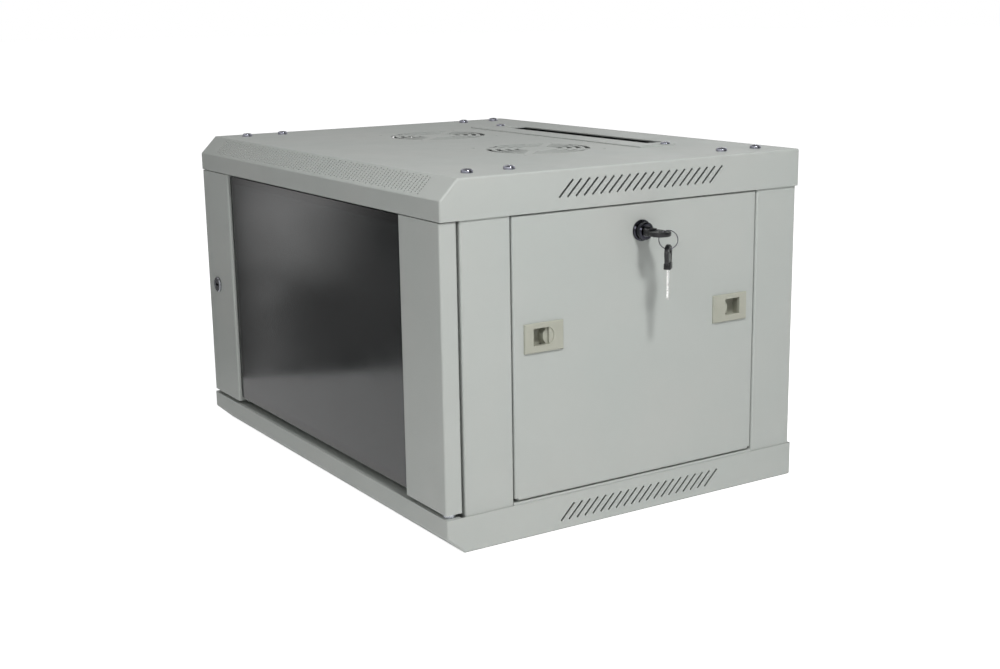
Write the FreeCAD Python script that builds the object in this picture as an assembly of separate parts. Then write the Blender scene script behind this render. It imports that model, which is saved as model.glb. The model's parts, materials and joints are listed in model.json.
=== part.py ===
"""Six-unit wall mount network cabinet: folded steel covers on two welded side frames,
a glazed front door, removable side panels, 19 inch rails, locks and keys.

Origin: middle of the base's underside. +Z is up, the door faces -Y, the wall is at +Y.
All sizes are in millimetres.
"""
import FreeCAD, Part
import math
import os

# ---- overall size ------------------------------------------------------------
width = 600.0            # across the covers
depth = 450.0            # door face to wall side
height = 368.0           # underside of the base to the top of the roof
cover_sheet = 1.2        # roof, base, panels and door
frame_sheet = 1.5        # side frames and depth rails
bend_inside = 1.0        # inner radius of every fold
seat_gap = 0.3           # clearance between parts that are bolted or fitted together
cover_gap = 0.5          # covers to side frames

# ---- roof and base covers ----------------------------------------------------
roof_flange = 40.0       # height of the roof's skirt
roof_chamfer = 20.0      # run and rise of the roof's sloped front
base_flange = 37.0
base_chamfer_run = 20.0
base_chamfer_rise = 18.0
cover_lip = 17.0         # inward lip of each cover above and below the door

# ---- slanted vent slots in the skirts ----------------------------------------
vent_count = 20
vent_pitch = 10.0
vent_rise = 18.5
vent_width = 2.4
vent_centre_y = 12.5
roof_vent_drop = 19.2    # slot centres below the roof's top face
base_vent_height = 17.9  # slot centres above the underside

# ---- fan grilles in the roof -------------------------------------------------
fan_spread = 222.0       # between the two fan centres
fan_centre_y = 12.0
fan_rings = 4
fan_first_radius = 25.0
fan_ring_pitch = 10.0
fan_slot_width = 5.4
fan_rib_width = 9.0      # diagonal ribs left between the arcs
fan_screw_spacing = 105.0
fan_screw_radius = 2.2

# ---- cable entries -----------------------------------------------------------
entry_length = 296.0
entry_width = 32.0
entry_inset = 59.0       # back edge of the entry to the rear of the cover
entry_screw_inset = 24.0  # fixing screws beyond each end of the entry
entry_corner = 3.0
entry_screw_radius = 2.5

# ---- side frames -------------------------------------------------------------
door_setback = 22.0      # front of the posts behind the door's face
rear_setback = 2.5       # rear of the posts in front of the wall side
front_post = 56.5
rear_post = 56.0
front_return = 15.3      # inward fold at the front of the front post
rear_return = 36.3
step_depth = 14.0        # recess that takes the side panel
landing = 12.0           # flange that the side panel closes on
rail_overlap = 10.0      # frame rails continue this far behind the covers
corner_plate = 48.0      # plates under the roof bolts, from the frame's outer face
corner_plate_tail = 24.0  # plate past the outermost bolt
bolt_inset_x = 33.0      # cover bolts from the side of the cabinet
bolt_front_inset = 50.0  # first bolt from the front
bolt_rear_inset = 34.0
bolt_pair = 48.0         # between the two bolts of a corner
bolt_radius = 3.0
bolt_head_radius = 6.0
bolt_head_height = 4.0
bolt_length = 12.0
head_taper = 0.8         # top of a screw head against its seat
nut_radius = 5.77
nut_height = 5.0

# ---- side panels -------------------------------------------------------------
panel_gap = 1.5          # around the panel
panel_top_gap = 1.0      # below the roof's skirt
panel_bottom_gap = 3.5   # above the base's skirt
panel_notch = 4.0        # corner relief
panel_lock_y = 11.0
panel_lock_drop = 28.0   # lock centre below the panel's top edge

# ---- slide latches of the side panels ----------------------------------------
latch_length = 46.0
latch_height = 29.5
latch_plate = 2.5
latch_inset = 35.0       # latch centre from the panel's edge
latch_centre_z = 204.7
latch_body_depth = 14.6
latch_wall = 1.4
well_length = 19.0
well_height = 17.6
well_offset = 3.4        # finger well, from the latch centre towards the post
well_lift = 1.0
latch_travel = 8.0
latch_overlap = 6.5      # tongue behind the post's landing flange
tongue_height = 10.0
tongue_back_offset = 6.0  # tongue's root behind the slider's finger wall
tongue_root = 8.0
finger_wall = 7.5

# ---- glazed door -------------------------------------------------------------
door_side_gap = 2.0      # door narrower than the covers, each side
door_top_gap = 1.0
door_bottom_gap = 4.5
door_thickness = 19.0
stile_width = 80.0
stile_lip = 14.0
glass_ledge = 12.5
glass_recess = 3.5
glass_thickness = 4.0
glass_edge_gap = 1.5
glass_bottom_gap = 5.0
tape_thickness = 1.0
tape_width = 9.0
door_rail = 14.5         # height of the door's cross rails behind the glass

# ---- hinge pins --------------------------------------------------------------
pin_radius = 3.0
pin_clearance = 0.08
pin_inset_x = 9.0        # from the door's hinge edge
pin_inset_y = 9.0        # from the door's face
pin_reach = 6.0          # beyond the door's end into the cover
pin_travel = 8.0
pin_length = 44.0
pin_collar_radius = 6.0
pin_lever = 20.0         # finger lever of the upper pin
pin_lever_drop = 14.0    # lever below the upper pin's collar
pin_lever_radius = 1.8
pin_hook_radius = 1.5

# ---- cam locks ---------------------------------------------------------------
lock_bezel_radius = 11.0
lock_bezel = 3.0
lock_nose = 7.0          # raised cylinder in front of the bezel
lock_body_radius = 9.0
lock_plug_radius = 6.0
plug_clearance = 0.06
cam_width = 12.0
cam_reach = 22.5
cam_sheet = 2.4
lock_nut = 4.0
lock_nut_radius = 13.0
cam_bolt_height = 3.6
cam_bolt_radius = 4.5
door_lock_inset = 34.0   # from the cabinet's side
door_bezel_radius = 9.7
door_bezel = 2.6
door_cam_reach = 24.0
keyway_width = 9.2
keyway_height = 2.6
keyway_floor = 0.3       # metal behind the keyway

# ---- keys and ring -----------------------------------------------------------
key_bow_radius = 11.0
key_bow_length = 23.0    # shoulder to tip
key_bow_sheet = 4.5
key_shoulder = 8.0
key_shoulder_width = 12.0
key_shoulder_height = 7.4
key_blade_width = 8.4
key_blade_sheet = 2.0
key_end_gap = 0.5        # blade's tip to the keyway's floor
key_stand_off = 0.6      # shoulder in front of the lock
key_hole_radius = 3.5
key_hole_inset = 8.2     # hole centre from the bow's tip
ring_radius = 9.5
ring_wire = 0.75
ring_turn = 48.0         # degrees, plane of the ring from the X axis

# ---- 19 inch rails -----------------------------------------------------------
unit_height = 44.45
unit_holes = (6.35, 22.225, 38.1)
bay_width = 450.0
rack_hole_inset = 7.55   # hole centres from the bay's edge
rail_hole = 9.5
rail_sheet = 2.0
rail_face = 22.0
rail_depth = 37.0
rail_return = 10.0
rail_foot = 6.5          # rail beyond the rack units at each end
front_rail_setback = 60.0
rear_rail_setback = 62.0
support_foot = 18.0
support_lip = 30.0
support_tab = 36.0       # length of each foot along the depth
support_lip_inset = 8.0  # outer lip face from the frame's clear edge
support_end_gap = 13.0
support_slot = 70.0
rail_bolt_head = 3.5

# ---- rear panel --------------------------------------------------------------
wall_hole_radius = 5.0
wall_hole_span_x = 470.0
wall_hole_span_z = 230.0
rear_overlap = 23.0
small_screw_radius = 2.5
small_head_radius = 4.5
small_head_height = 2.2
rear_screw_length = 9.0
rear_fold = 10.0         # folded top and bottom edges of the rear panel

# ---- derived planes ----------------------------------------------------------
side = width / 2
front = -depth / 2
rear = depth / 2
roof_low = height - roof_flange
frame_out = side - cover_sheet - cover_gap          # outer face of the side frames
landing_out = frame_out - step_depth
landing_in = landing_out - frame_sheet
post_front = front + door_setback
post_rear = rear - rear_setback
front_step = post_front + front_post
rear_step = post_rear - rear_post
opening_top = roof_low + cover_gap
panel_bottom = base_flange + panel_bottom_gap
opening_low = panel_bottom - panel_gap
frame_low = cover_sheet + seat_gap
frame_high = height - cover_sheet - seat_gap
panel_top = roof_low - panel_top_gap
panel_front = front_step + panel_gap
panel_rear = rear_step - panel_gap
lock_z = panel_top - panel_lock_drop
bolt_x = side - bolt_inset_x
bolt_rows = (front + bolt_front_inset, front + bolt_front_inset + bolt_pair,
             rear - bolt_rear_inset - bolt_pair, rear - bolt_rear_inset)
entry_back = rear - entry_inset
entry_front = entry_back - entry_width
entry_screw_x = entry_length / 2 + entry_screw_inset
entry_screw_y = entry_front + 0.28 * entry_width
cover_travel = entry_width - 1.0
door_out = side - door_side_gap
door_back = front + door_thickness
door_low = base_flange + door_bottom_gap
door_high = roof_low - door_top_gap
pin_x = door_out - pin_inset_x
pin_y = front + pin_inset_y
stile_in = door_out - stile_width
ledge_front = front + glass_recess + glass_thickness + tape_thickness
rack_middle = (door_low + door_high) / 2
rack_units = int((door_high - door_low - 2 * rail_foot) // unit_height)
bay = bay_width / 2
rack_hole_x = bay + rack_hole_inset
small = 0.01


# ---- shape helpers -----------------------------------------------------------
def vec(x, y, z):
    return FreeCAD.Vector(x, y, z)


def box(x0, x1, y0, y1, z0, z1):
    """Box between two corners."""
    return Part.makeBox(x1 - x0, y1 - y0, z1 - z0, vec(x0, y0, z0))


def rod(radius, start, end):
    """Cylinder between two points."""
    way = end.sub(start)
    return Part.makeCylinder(radius, way.Length, start, way)


def eased_rod(radius, start, end, ease):
    """Cylinder between two points, with a chamfered rim at its end."""
    way = end.sub(start)
    length = way.Length
    way.normalize()
    shoulder = end.sub(way * ease)
    body = Part.makeCylinder(radius, length - ease, start, way)
    return body.fuse(Part.makeCone(radius, radius - ease, ease, shoulder, way))


def hexagon(radius, start, end):
    """Hexagonal bar between two points."""
    way = end.sub(start)
    side_way = vec(0, 0, 1) if abs(way.z) < small else vec(1, 0, 0)
    points = []
    for step in range(7):
        turn = FreeCAD.Rotation(way, 60.0 * step)
        points.append(start.add(turn.multVec(side_way.multiply(1.0) * radius)))
    return Part.Face(Part.makePolygon(points)).extrude(way)


def in_xy(z):
    return lambda a, b: vec(a, b, z)


def in_yz(x):
    return lambda a, b: vec(x, a, b)


def in_xz(y):
    return lambda a, b: vec(a, y, b)


def outline_face(corners, place):
    """Face inside a polygon of (a, b, radius) corners, each rounded by its radius."""
    spans = []
    count = len(corners)
    for index, (a, b, radius) in enumerate(corners):
        corner = vec(a, b, 0)
        before = vec(corners[index - 1][0], corners[index - 1][1], 0).sub(corner)
        after = vec(corners[(index + 1) % count][0], corners[(index + 1) % count][1], 0).sub(corner)
        if radius <= 0:
            spans.append((corner, None, corner))
            continue
        before.normalize()
        after.normalize()
        half = before.getAngle(after) / 2
        middle = before.add(after).normalize()
        reach = radius / math.tan(half)
        crown = corner.add(middle * (radius / math.sin(half) - radius))
        spans.append((corner.add(before * reach), crown, corner.add(after * reach)))
    edges = []
    for index, (enter, crown, leave) in enumerate(spans):
        last_leave = spans[index - 1][2]
        if last_leave.distanceToPoint(enter) > small:
            edges.append(Part.makeLine(place(last_leave.x, last_leave.y), place(enter.x, enter.y)))
        if crown is not None:
            arc = Part.Arc(place(enter.x, enter.y), place(crown.x, crown.y), place(leave.x, leave.y))
            edges.append(arc.toShape())
    return Part.Face(Part.Wire(Part.__sortEdges__(edges)))


def folded(path, sheet, hand):
    """Corners of a folded sheet's section: the path is one face of the sheet, the other face
    lies to the left (hand 1) or right (hand -1) of it, and every fold is rounded."""
    ways = []
    for (a0, b0), (a1, b1) in zip(path, path[1:]):
        length = math.hypot(a1 - a0, b1 - b0)
        ways.append(((a1 - a0) / length, (b1 - b0) / length))
    near = []
    far = []
    for index, (a, b) in enumerate(path):
        first = ways[max(index - 1, 0)]
        second = ways[min(index, len(ways) - 1)]
        normal_a = (-first[1] * hand, first[0] * hand)
        normal_b = (-second[1] * hand, second[0] * hand)
        share = sheet / (1 + normal_a[0] * normal_b[0] + normal_a[1] * normal_b[1])
        shift = ((normal_a[0] + normal_b[0]) * share, (normal_a[1] + normal_b[1]) * share)
        turn = (first[0] * second[1] - first[1] * second[0]) * hand
        outer = bend_inside + sheet
        near_radius = 0 if abs(turn) < small else (outer if turn > 0 else bend_inside)
        far_radius = 0 if abs(turn) < small else (bend_inside if turn > 0 else outer)
        near.append((a, b, near_radius))
        far.append((a + shift[0], b + shift[1], far_radius))
    return near + far[::-1]


def mirrored(shape):
    """The same part for the other side of the cabinet."""
    return shape.mirror(vec(0, 0, 0), vec(1, 0, 0))


def fuse(shapes):
    body = shapes[0].fuse(shapes[1:]) if len(shapes) > 1 else shapes[0]
    return body.removeSplitter()


def cut(body, tools):
    return body.cut(tools)


# ---- covers ------------------------------------------------------------------
def bent_block(profile, inset, open_z):
    """Solid with a cover's side profile, shrunk by an inset. Every edge is rounded as a fold,
    apart from those of the open face at z = open_z."""
    block = outline_face([(y, z, 0) for y, z in profile], in_yz(-side + inset))
    block = block.extrude(vec(width - 2 * inset, 0, 0))
    folds = [edge for edge in block.Edges if abs(edge.CenterOfMass.z - open_z) > small]
    return block.makeFillet(bend_inside + cover_sheet - inset, folds)


def roof_block(inset, low):
    slope = inset * math.tan(math.radians(22.5))
    profile = [(front + inset, low), (rear - inset, low), (rear - inset, height - inset),
               (front + roof_chamfer + slope, height - inset),
               (front + inset, height - roof_chamfer - slope)]
    return bent_block(profile, inset, low)


def base_block(inset, high):
    tilt = math.atan2(base_chamfer_rise, base_chamfer_run)
    slope_low = inset * math.tan(tilt / 2)
    slope_front = inset * math.tan((math.pi / 2 - tilt) / 2)
    profile = [(front + base_chamfer_run + slope_low, inset), (rear - inset, inset),
               (rear - inset, high), (front + inset, high),
               (front + inset, base_chamfer_rise + slope_front)]
    return bent_block(profile, inset, high)


def vents(middle_z):
    """Cutters for one row of slots that lean back at the top, through both skirts."""
    across = vent_width / 2 * math.sqrt(0.5)
    half = vent_rise / 2 - across
    cutters = []
    for index in range(vent_count):
        y = vent_centre_y + (index - (vent_count - 1) / 2) * vent_pitch
        corners = [(y - half - across, middle_z - half + across, 0),
                   (y - half + across, middle_z - half - across, 0),
                   (y + half + across, middle_z + half - across, 0),
                   (y + half - across, middle_z + half + across, 0)]
        cutters.append(outline_face(corners, in_yz(-side - 1)).extrude(vec(width + 2, 0, 0)))
    return cutters


def fan_arcs(centre_x):
    """Cutters for one fan grille: rings split by diagonal ribs, and four screw holes."""
    low = height - 2 * cover_sheet
    reach = fan_first_radius + fan_rings * fan_ring_pitch
    ribs = []
    for angle in (45.0, 135.0):
        bar = box(-reach, reach, -fan_rib_width / 2, fan_rib_width / 2, low - 1, height + 1)
        bar.rotate(vec(0, 0, 0), vec(0, 0, 1), angle)
        bar.translate(vec(centre_x, fan_centre_y, 0))
        ribs.append(bar)
    middle = vec(centre_x, fan_centre_y, low)
    cutters = []
    for ring in range(fan_rings):
        radius = fan_first_radius + ring * fan_ring_pitch
        outer = Part.makeCylinder(radius + fan_slot_width / 2, 4 * cover_sheet, middle)
        inner = Part.makeCylinder(radius - fan_slot_width / 2, 4 * cover_sheet, middle)
        cutters.append(outer.cut([inner] + ribs))
    for step_x in (-0.5, 0.5):
        for step_y in (-0.5, 0.5):
            spot = middle.add(vec(step_x * fan_screw_spacing, step_y * fan_screw_spacing, 0))
            cutters.append(Part.makeCylinder(fan_screw_radius, 4 * cover_sheet, spot))
    return cutters


def entry_cutters(low):
    """Cutters for a cable entry: the long opening and the two holes of its cover's screws."""
    half = entry_length / 2
    corners = [(-half, entry_front, entry_corner), (half, entry_front, entry_corner),
               (half, entry_back, entry_corner), (-half, entry_back, entry_corner)]
    cutters = [outline_face(corners, in_xy(low)).extrude(vec(0, 0, 4 * cover_sheet))]
    for x in (-entry_screw_x, entry_screw_x):
        hole = entry_screw_radius + seat_gap
        cutters.append(Part.makeCylinder(hole, 4 * cover_sheet, vec(x, entry_screw_y, low)))
    return cutters


def bolt_spots():
    return [(x, y) for x in (-bolt_x, bolt_x) for y in bolt_rows]


def pin_bores(low):
    """Bores for the hinge pins at both ends of a cover's lip, so the door can be turned round."""
    radius = pin_radius + pin_clearance
    return [Part.makeCylinder(radius, 4 * cover_sheet, vec(x, pin_y, low)) for x in (-pin_x, pin_x)]


def make_roof():
    body = roof_block(0, roof_low)
    body = body.cut(roof_block(cover_sheet, roof_low - 1))
    skirt = side - cover_sheet
    lip = box(-skirt, skirt, front + cover_sheet, front + cover_lip, roof_low, roof_low + cover_sheet)
    body = fuse([body, lip])
    top = height - 2 * cover_sheet
    holes = [Part.makeCylinder(bolt_radius + seat_gap, 4 * cover_sheet, vec(x, y, top))
             for x, y in bolt_spots()]
    tools = holes + entry_cutters(top) + pin_bores(roof_low - cover_sheet)
    tools += fan_arcs(-fan_spread / 2) + fan_arcs(fan_spread / 2)
    tools += vents(height - roof_vent_drop)
    return cut(body, tools)


def make_base():
    body = base_block(0, base_flange)
    body = body.cut(base_block(cover_sheet, base_flange + 1))
    skirt = side - cover_sheet
    lip = box(-skirt, skirt, front + cover_sheet, front + cover_lip,
              base_flange - cover_sheet, base_flange)
    body = fuse([body, lip])
    tools = entry_cutters(-cover_sheet) + pin_bores(base_flange - 2 * cover_sheet)
    tools += vents(base_vent_height)
    return cut(body, tools)


def entry_cover(low):
    """Sliding cover: a strip in front of the entry with an ear beside each end of it.
    The ears' slots ride on the two screws while the strip slides back over the entry."""
    ear = entry_screw_radius + 6.0
    outer = entry_screw_x + ear
    inner = entry_length / 2 + 3.0
    nose = entry_front - cover_travel - 2.0
    tail = entry_screw_y + ear
    corners = [(-outer, nose, 2), (outer, nose, 2), (outer, tail, 2), (inner, tail, 2),
               (inner, entry_front - 1, 2), (-inner, entry_front - 1, 2), (-inner, tail, 2),
               (-outer, tail, 2)]
    body = outline_face(corners, in_xy(low)).extrude(vec(0, 0, cover_sheet))
    half = entry_screw_radius + seat_gap
    for x in (-entry_screw_x, entry_screw_x):
        start = entry_screw_y - cover_travel
        slot = [(x - half, start - half, half), (x + half, start - half, half),
                (x + half, entry_screw_y + half, half),
                (x - half, entry_screw_y + half, half)]
        body = body.cut(outline_face(slot, in_xy(low - 1)).extrude(vec(0, 0, 2 + cover_sheet)))
    return body


def pan_screw(point, way, shank_radius, shank, head_radius, head):
    """Screw with a tapered head: the point is the centre of its seat, the way points out of it."""
    shaft = rod(shank_radius, point.sub(way * shank), point)
    return shaft.fuse(Part.makeCone(head_radius, head_taper * head_radius, head, point, way))


# ---- side frames -------------------------------------------------------------
def posts():
    """Front and rear post for the +X side, each folded with a step that takes the side panel."""
    front_path = [(frame_out - front_return, post_front), (frame_out, post_front),
                  (frame_out, front_step), (landing_out, front_step),
                  (landing_out, front_step + landing)]
    rear_path = [(frame_out - rear_return, post_rear), (frame_out, post_rear),
                 (frame_out, rear_step), (landing_out, rear_step), (landing_out, rear_step - landing)]
    tall = vec(0, 0, frame_high - frame_low)
    front_post_bar = outline_face(folded(front_path, frame_sheet, 1), in_xy(frame_low)).extrude(tall)
    rear_post_bar = outline_face(folded(rear_path, frame_sheet, -1), in_xy(frame_low)).extrude(tall)
    screw = small_screw_radius + seat_gap
    cutters = []
    for z in rear_screw_heights():
        start = vec(rear_screw_x(), post_rear - 3 * frame_sheet, z)
        cutters.append(Part.makeCylinder(screw, 5 * frame_sheet, start, vec(0, 1, 0)))
    return front_post_bar, rear_post_bar.cut(cutters)


def side_rails(post_bars):
    """Upper and lower rail between the posts, notched where they meet the posts' flanges."""
    long = vec(0, rear_step - front_step, 0)
    paths = (([(frame_out, opening_top + rail_overlap), (frame_out, opening_top),
               (landing_out, opening_top), (landing_out, opening_top - landing)], -1),
             ([(frame_out, opening_low - rail_overlap), (frame_out, opening_low),
               (landing_out, opening_low), (landing_out, opening_low + landing)], 1))
    rails = []
    for path, hand in paths:
        rail = outline_face(folded(path, frame_sheet, hand), in_xz(front_step)).extrude(long)
        rails.append(rail.cut(list(post_bars)))
    return rails


def corner_plates():
    """Plates welded inside the posts under the cover bolts, the upper ones with weld nuts."""
    plate_in = frame_out - corner_plate
    plate_out = frame_out - frame_sheet
    ease = bend_inside + seat_gap
    hole = bolt_radius + seat_gap
    plates = []
    for edge, inner, tail, rows, way in (
            (post_front + frame_sheet, front_step - frame_sheet, bolt_rows[1] + corner_plate_tail,
             bolt_rows[:2], 1),
            (post_rear - frame_sheet, rear_step + frame_sheet, bolt_rows[2] - corner_plate_tail,
             bolt_rows[2:], -1)):
        corners = [(plate_in, edge, 0), (plate_out - ease, edge, 0), (plate_out, edge + way * ease, 0),
                   (plate_out, inner - way * ease, 0), (plate_out - ease, inner, 0),
                   (landing_in, inner, 0), (landing_in, tail, 0), (plate_in, tail, 0)]
        for plate_z, nut_drop in ((frame_high - frame_sheet, nut_height), (frame_low, 0)):
            pieces = [outline_face(corners, in_xy(plate_z)).extrude(vec(0, 0, frame_sheet))]
            if nut_drop > 0:
                pieces += [hexagon(nut_radius, vec(bolt_x, y, plate_z - nut_drop), vec(bolt_x, y, plate_z))
                           for y in rows]
            cutters = [Part.makeCylinder(hole, 3 * nut_height, vec(bolt_x, y, plate_z - nut_drop - 1))
                       for y in rows]
            plates.append(fuse(pieces).cut(cutters))
    return plates


# ---- side panel and its latches ----------------------------------------------
def latch_places():
    """Centre of each latch along the panel, with the direction of its post."""
    return (("front", panel_front + latch_inset, -1), ("rear", panel_rear - latch_inset, 1))


def body_reach():
    """How far a latch's body extends behind the panel, towards the panel's middle and its post."""
    inner = latch_length / 2 - 2.0
    outer = well_offset + well_length / 2 + latch_wall + 2.7
    return inner, outer


def latch_box(centre, toward, inner, outer, low, high, x0, x1):
    """Box around a latch's centre: inner and outer are measured along the slide direction."""
    ends = sorted((centre + toward * inner, centre + toward * outer))
    return box(x0, x1, ends[0], ends[1], latch_centre_z + low, latch_centre_z + high)


def side_panel():
    """Pan-shaped panel for the +X side, with its lock hole and two latch cut-outs."""
    face = box(frame_out - cover_sheet, frame_out, panel_front, panel_rear, panel_bottom, panel_top)
    back = landing_out + seat_gap
    outer = box(back, frame_out, panel_front, panel_rear, panel_bottom, panel_top)
    upright = [edge for edge in outer.Edges if abs(edge.CenterOfMass.x - frame_out) < small]
    outer = outer.makeFillet(cover_sheet + bend_inside, upright)
    inner = box(back - 1, frame_out - cover_sheet, panel_front + cover_sheet, panel_rear - cover_sheet,
                panel_bottom + cover_sheet, panel_top - cover_sheet)
    hidden = [edge for edge in inner.Edges
              if abs(edge.CenterOfMass.x - frame_out + cover_sheet) < small]
    inner = inner.makeFillet(bend_inside, hidden)
    body = outer.cut(inner)
    tools = [rod(lock_body_radius + seat_gap, vec(back, panel_lock_y, lock_z),
                 vec(frame_out + 1, panel_lock_y, lock_z))]
    for _, centre, toward in latch_places():
        inside, outside = body_reach()
        half = latch_body_half() + seat_gap
        tools.append(latch_box(centre, toward, -inside - seat_gap, outside + seat_gap, -half, half,
                               back, frame_out + 1))
    for y in (panel_front, panel_rear):
        tools.append(box(back - 1, frame_out + 1, y - panel_notch, y + panel_notch,
                         panel_bottom - 1, panel_bottom + 0.75 * panel_notch))
    return body.cut(tools)


def latch_body_half():
    return well_height / 2 + well_lift + latch_wall


def latch_housing(centre, toward):
    """Moulded bezel with a finger well, a scooped thumb rest and a body behind the panel."""
    plate_top = frame_out + latch_plate
    plate = latch_box(centre, toward, -latch_length / 2, latch_length / 2,
                      -latch_height / 2, latch_height / 2, frame_out, plate_top)
    rim = [edge for edge in plate.Edges if abs(edge.CenterOfMass.x - plate_top) < small]
    plate = plate.makeChamfer(0.8, rim)
    inside, outside = body_reach()
    half = latch_body_half()
    back = frame_out - latch_body_depth
    body = latch_box(centre, toward, -inside, outside, -half, half, back, frame_out)
    body = plate.fuse(body)
    hollow = latch_box(centre, toward, -inside + latch_wall, outside - latch_wall,
                       -half + latch_wall, half - latch_wall, back + latch_wall, frame_out - latch_wall)
    well = latch_box(centre, toward, well_offset - well_length / 2, well_offset + well_length / 2,
                     well_lift - well_height / 2, well_lift + well_height / 2,
                     frame_out - 2 * latch_wall, plate_top + 1)
    tongue_way = latch_box(centre, toward, -inside + latch_wall, outside - latch_wall,
                           -tongue_height / 2 - seat_gap, tongue_height / 2 + seat_gap,
                           back - 1, back + 2 * latch_wall)
    scoop_edge = centre + toward * (well_offset - well_length / 2 + 3.5)
    scoop = Part.makeCylinder(9.0, 2.0, vec(plate_top - 0.9, scoop_edge, latch_centre_z + well_lift),
                              vec(1, 0, 0))
    keep = latch_box(centre, toward, -latch_length / 2, well_offset, well_lift - well_height / 2,
                     well_lift + well_height / 2, plate_top - 1.5, plate_top + 2)
    return body.cut([hollow, well, tongue_way, scoop.common(keep)]).removeSplitter()


def latch_slider(centre, toward):
    """Sliding bolt: a curved finger wall and floor in the well, and a tongue behind the post."""
    inside, outside = body_reach()
    back = frame_out - latch_body_depth
    floor = back + latch_wall + seat_gap
    top = frame_out - latch_wall - seat_gap
    half = latch_body_half() - latch_wall - seat_gap
    reach = latch_reach()
    wall_in = -inside + latch_wall + seat_gap + latch_travel
    wall_out = wall_in + finger_wall
    floor_out = outside - latch_wall - seat_gap
    pieces = [latch_box(centre, toward, wall_in, floor_out, -half, half, floor, floor + 2.0),
              latch_box(centre, toward, wall_in, wall_out, -half, half, floor, top)]
    nose_axis = centre + toward * (wall_out - 6.0)
    nose = Part.makeCylinder(9.0, top - floor, vec(floor, nose_axis, latch_centre_z), vec(1, 0, 0))
    limit = latch_box(centre, toward, wall_out - 1.0, wall_out + 4.0, -half, half, floor, top)
    pieces.append(nose.common(limit))
    tongue_back = landing_in - 2 * seat_gap - 2.5
    height_half = tongue_height / 2
    root = wall_in + tongue_back_offset
    pieces.append(latch_box(centre, toward, root, root + tongue_root, -height_half, height_half,
                            tongue_back, floor + 1.0))
    tongue = latch_box(centre, toward, root, reach, -height_half, height_half,
                       tongue_back, landing_in - 2 * seat_gap)
    tip = centre + toward * reach
    corners = [edge for edge in tongue.Edges if abs(edge.CenterOfMass.y - tip) < small
               and abs(edge.tangentAt(edge.FirstParameter).x) > 0.9]
    pieces.append(tongue.makeFillet(2.5, corners))
    return fuse(pieces)


def latch_reach():
    """From the latch's centre to the tongue's tip."""
    return latch_inset + panel_gap - landing + latch_overlap


# ---- locks -------------------------------------------------------------------
def lock_housing(face, bezel_radius, bezel, nose, tail):
    """Cam lock body on the +X axis with its seat at x = face and its rear end at x = tail."""
    front_face = face + bezel
    pieces = [eased_rod(bezel_radius, vec(face, 0, 0), vec(front_face, 0, 0), 0.4 * bezel),
              rod(lock_body_radius, vec(tail, 0, 0), vec(face, 0, 0))]
    if nose > 0:
        pieces.append(eased_rod(0.82 * bezel_radius, vec(front_face, 0, 0),
                                vec(front_face + nose, 0, 0), 1.4))
    bore = rod(lock_plug_radius + plug_clearance, vec(tail - 1, 0, 0),
               vec(front_face + nose + 1, 0, 0))
    return fuse(pieces).cut(bore)


def lock_plug(mouth, tail):
    """Turning cylinder with its keyway, square end and the cam's bolt."""
    body = rod(lock_plug_radius, vec(tail, 0, 0), vec(mouth - 0.4, 0, 0))
    keyway = box(tail + keyway_floor, mouth + 1, -keyway_width / 2, keyway_width / 2,
                 -keyway_height / 2, keyway_height / 2)
    square = 3.6
    neck = box(tail - cam_sheet, tail, -square, square, -square, square)
    bolt = hexagon(cam_bolt_radius, vec(tail - cam_sheet - cam_bolt_height, 0, 0),
                   vec(tail - cam_sheet, 0, 0))
    return fuse([body, neck, bolt]).cut(keyway)


def lock_cam(tail, reach):
    """Flat cam with a rounded end, on the plug's square; it points along +Y."""
    half = cam_width / 2
    corners = [(-half, -half, half), (-half, half, half),
               (reach, half, 3.0), (reach, -half, 3.0)]
    place = in_yz(tail - cam_sheet)
    plate = outline_face(corners, place).extrude(vec(cam_sheet, 0, 0))
    square = 3.6 + 0.05
    return plate.cut(box(tail - 2 * cam_sheet, tail + 1, -square, square, -square, square))


def hex_nut_x(seat, thickness, radius, hole):
    """Thin hexagonal nut on the +X axis, ending at x = seat."""
    body = hexagon(radius, vec(seat - thickness, 0, 0), vec(seat, 0, 0))
    return body.cut(rod(hole, vec(seat - thickness - 1, 0, 0), vec(seat + 1, 0, 0)))


def at_panel(shape):
    """Moves a part from the +X axis to the lock position of the +X side panel."""
    shape.translate(vec(0, panel_lock_y, lock_z))
    return shape


def at_door(shape):
    """Turns a part from the +X axis to the door lock's axis, which points along -Y."""
    shape.rotate(vec(0, 0, 0), vec(0, 0, 1), -90)
    shape.translate(vec(-side + door_lock_inset, 0, rack_middle))
    return shape


def side_lock_tail():
    """Rear end of a side lock's body, just behind the landing flange's plane."""
    return landing_in - seat_gap


def door_lock_tail():
    """End of the door lock's body, measured along the door lock's own axis."""
    return -(post_front + frame_sheet) - seat_gap


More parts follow.
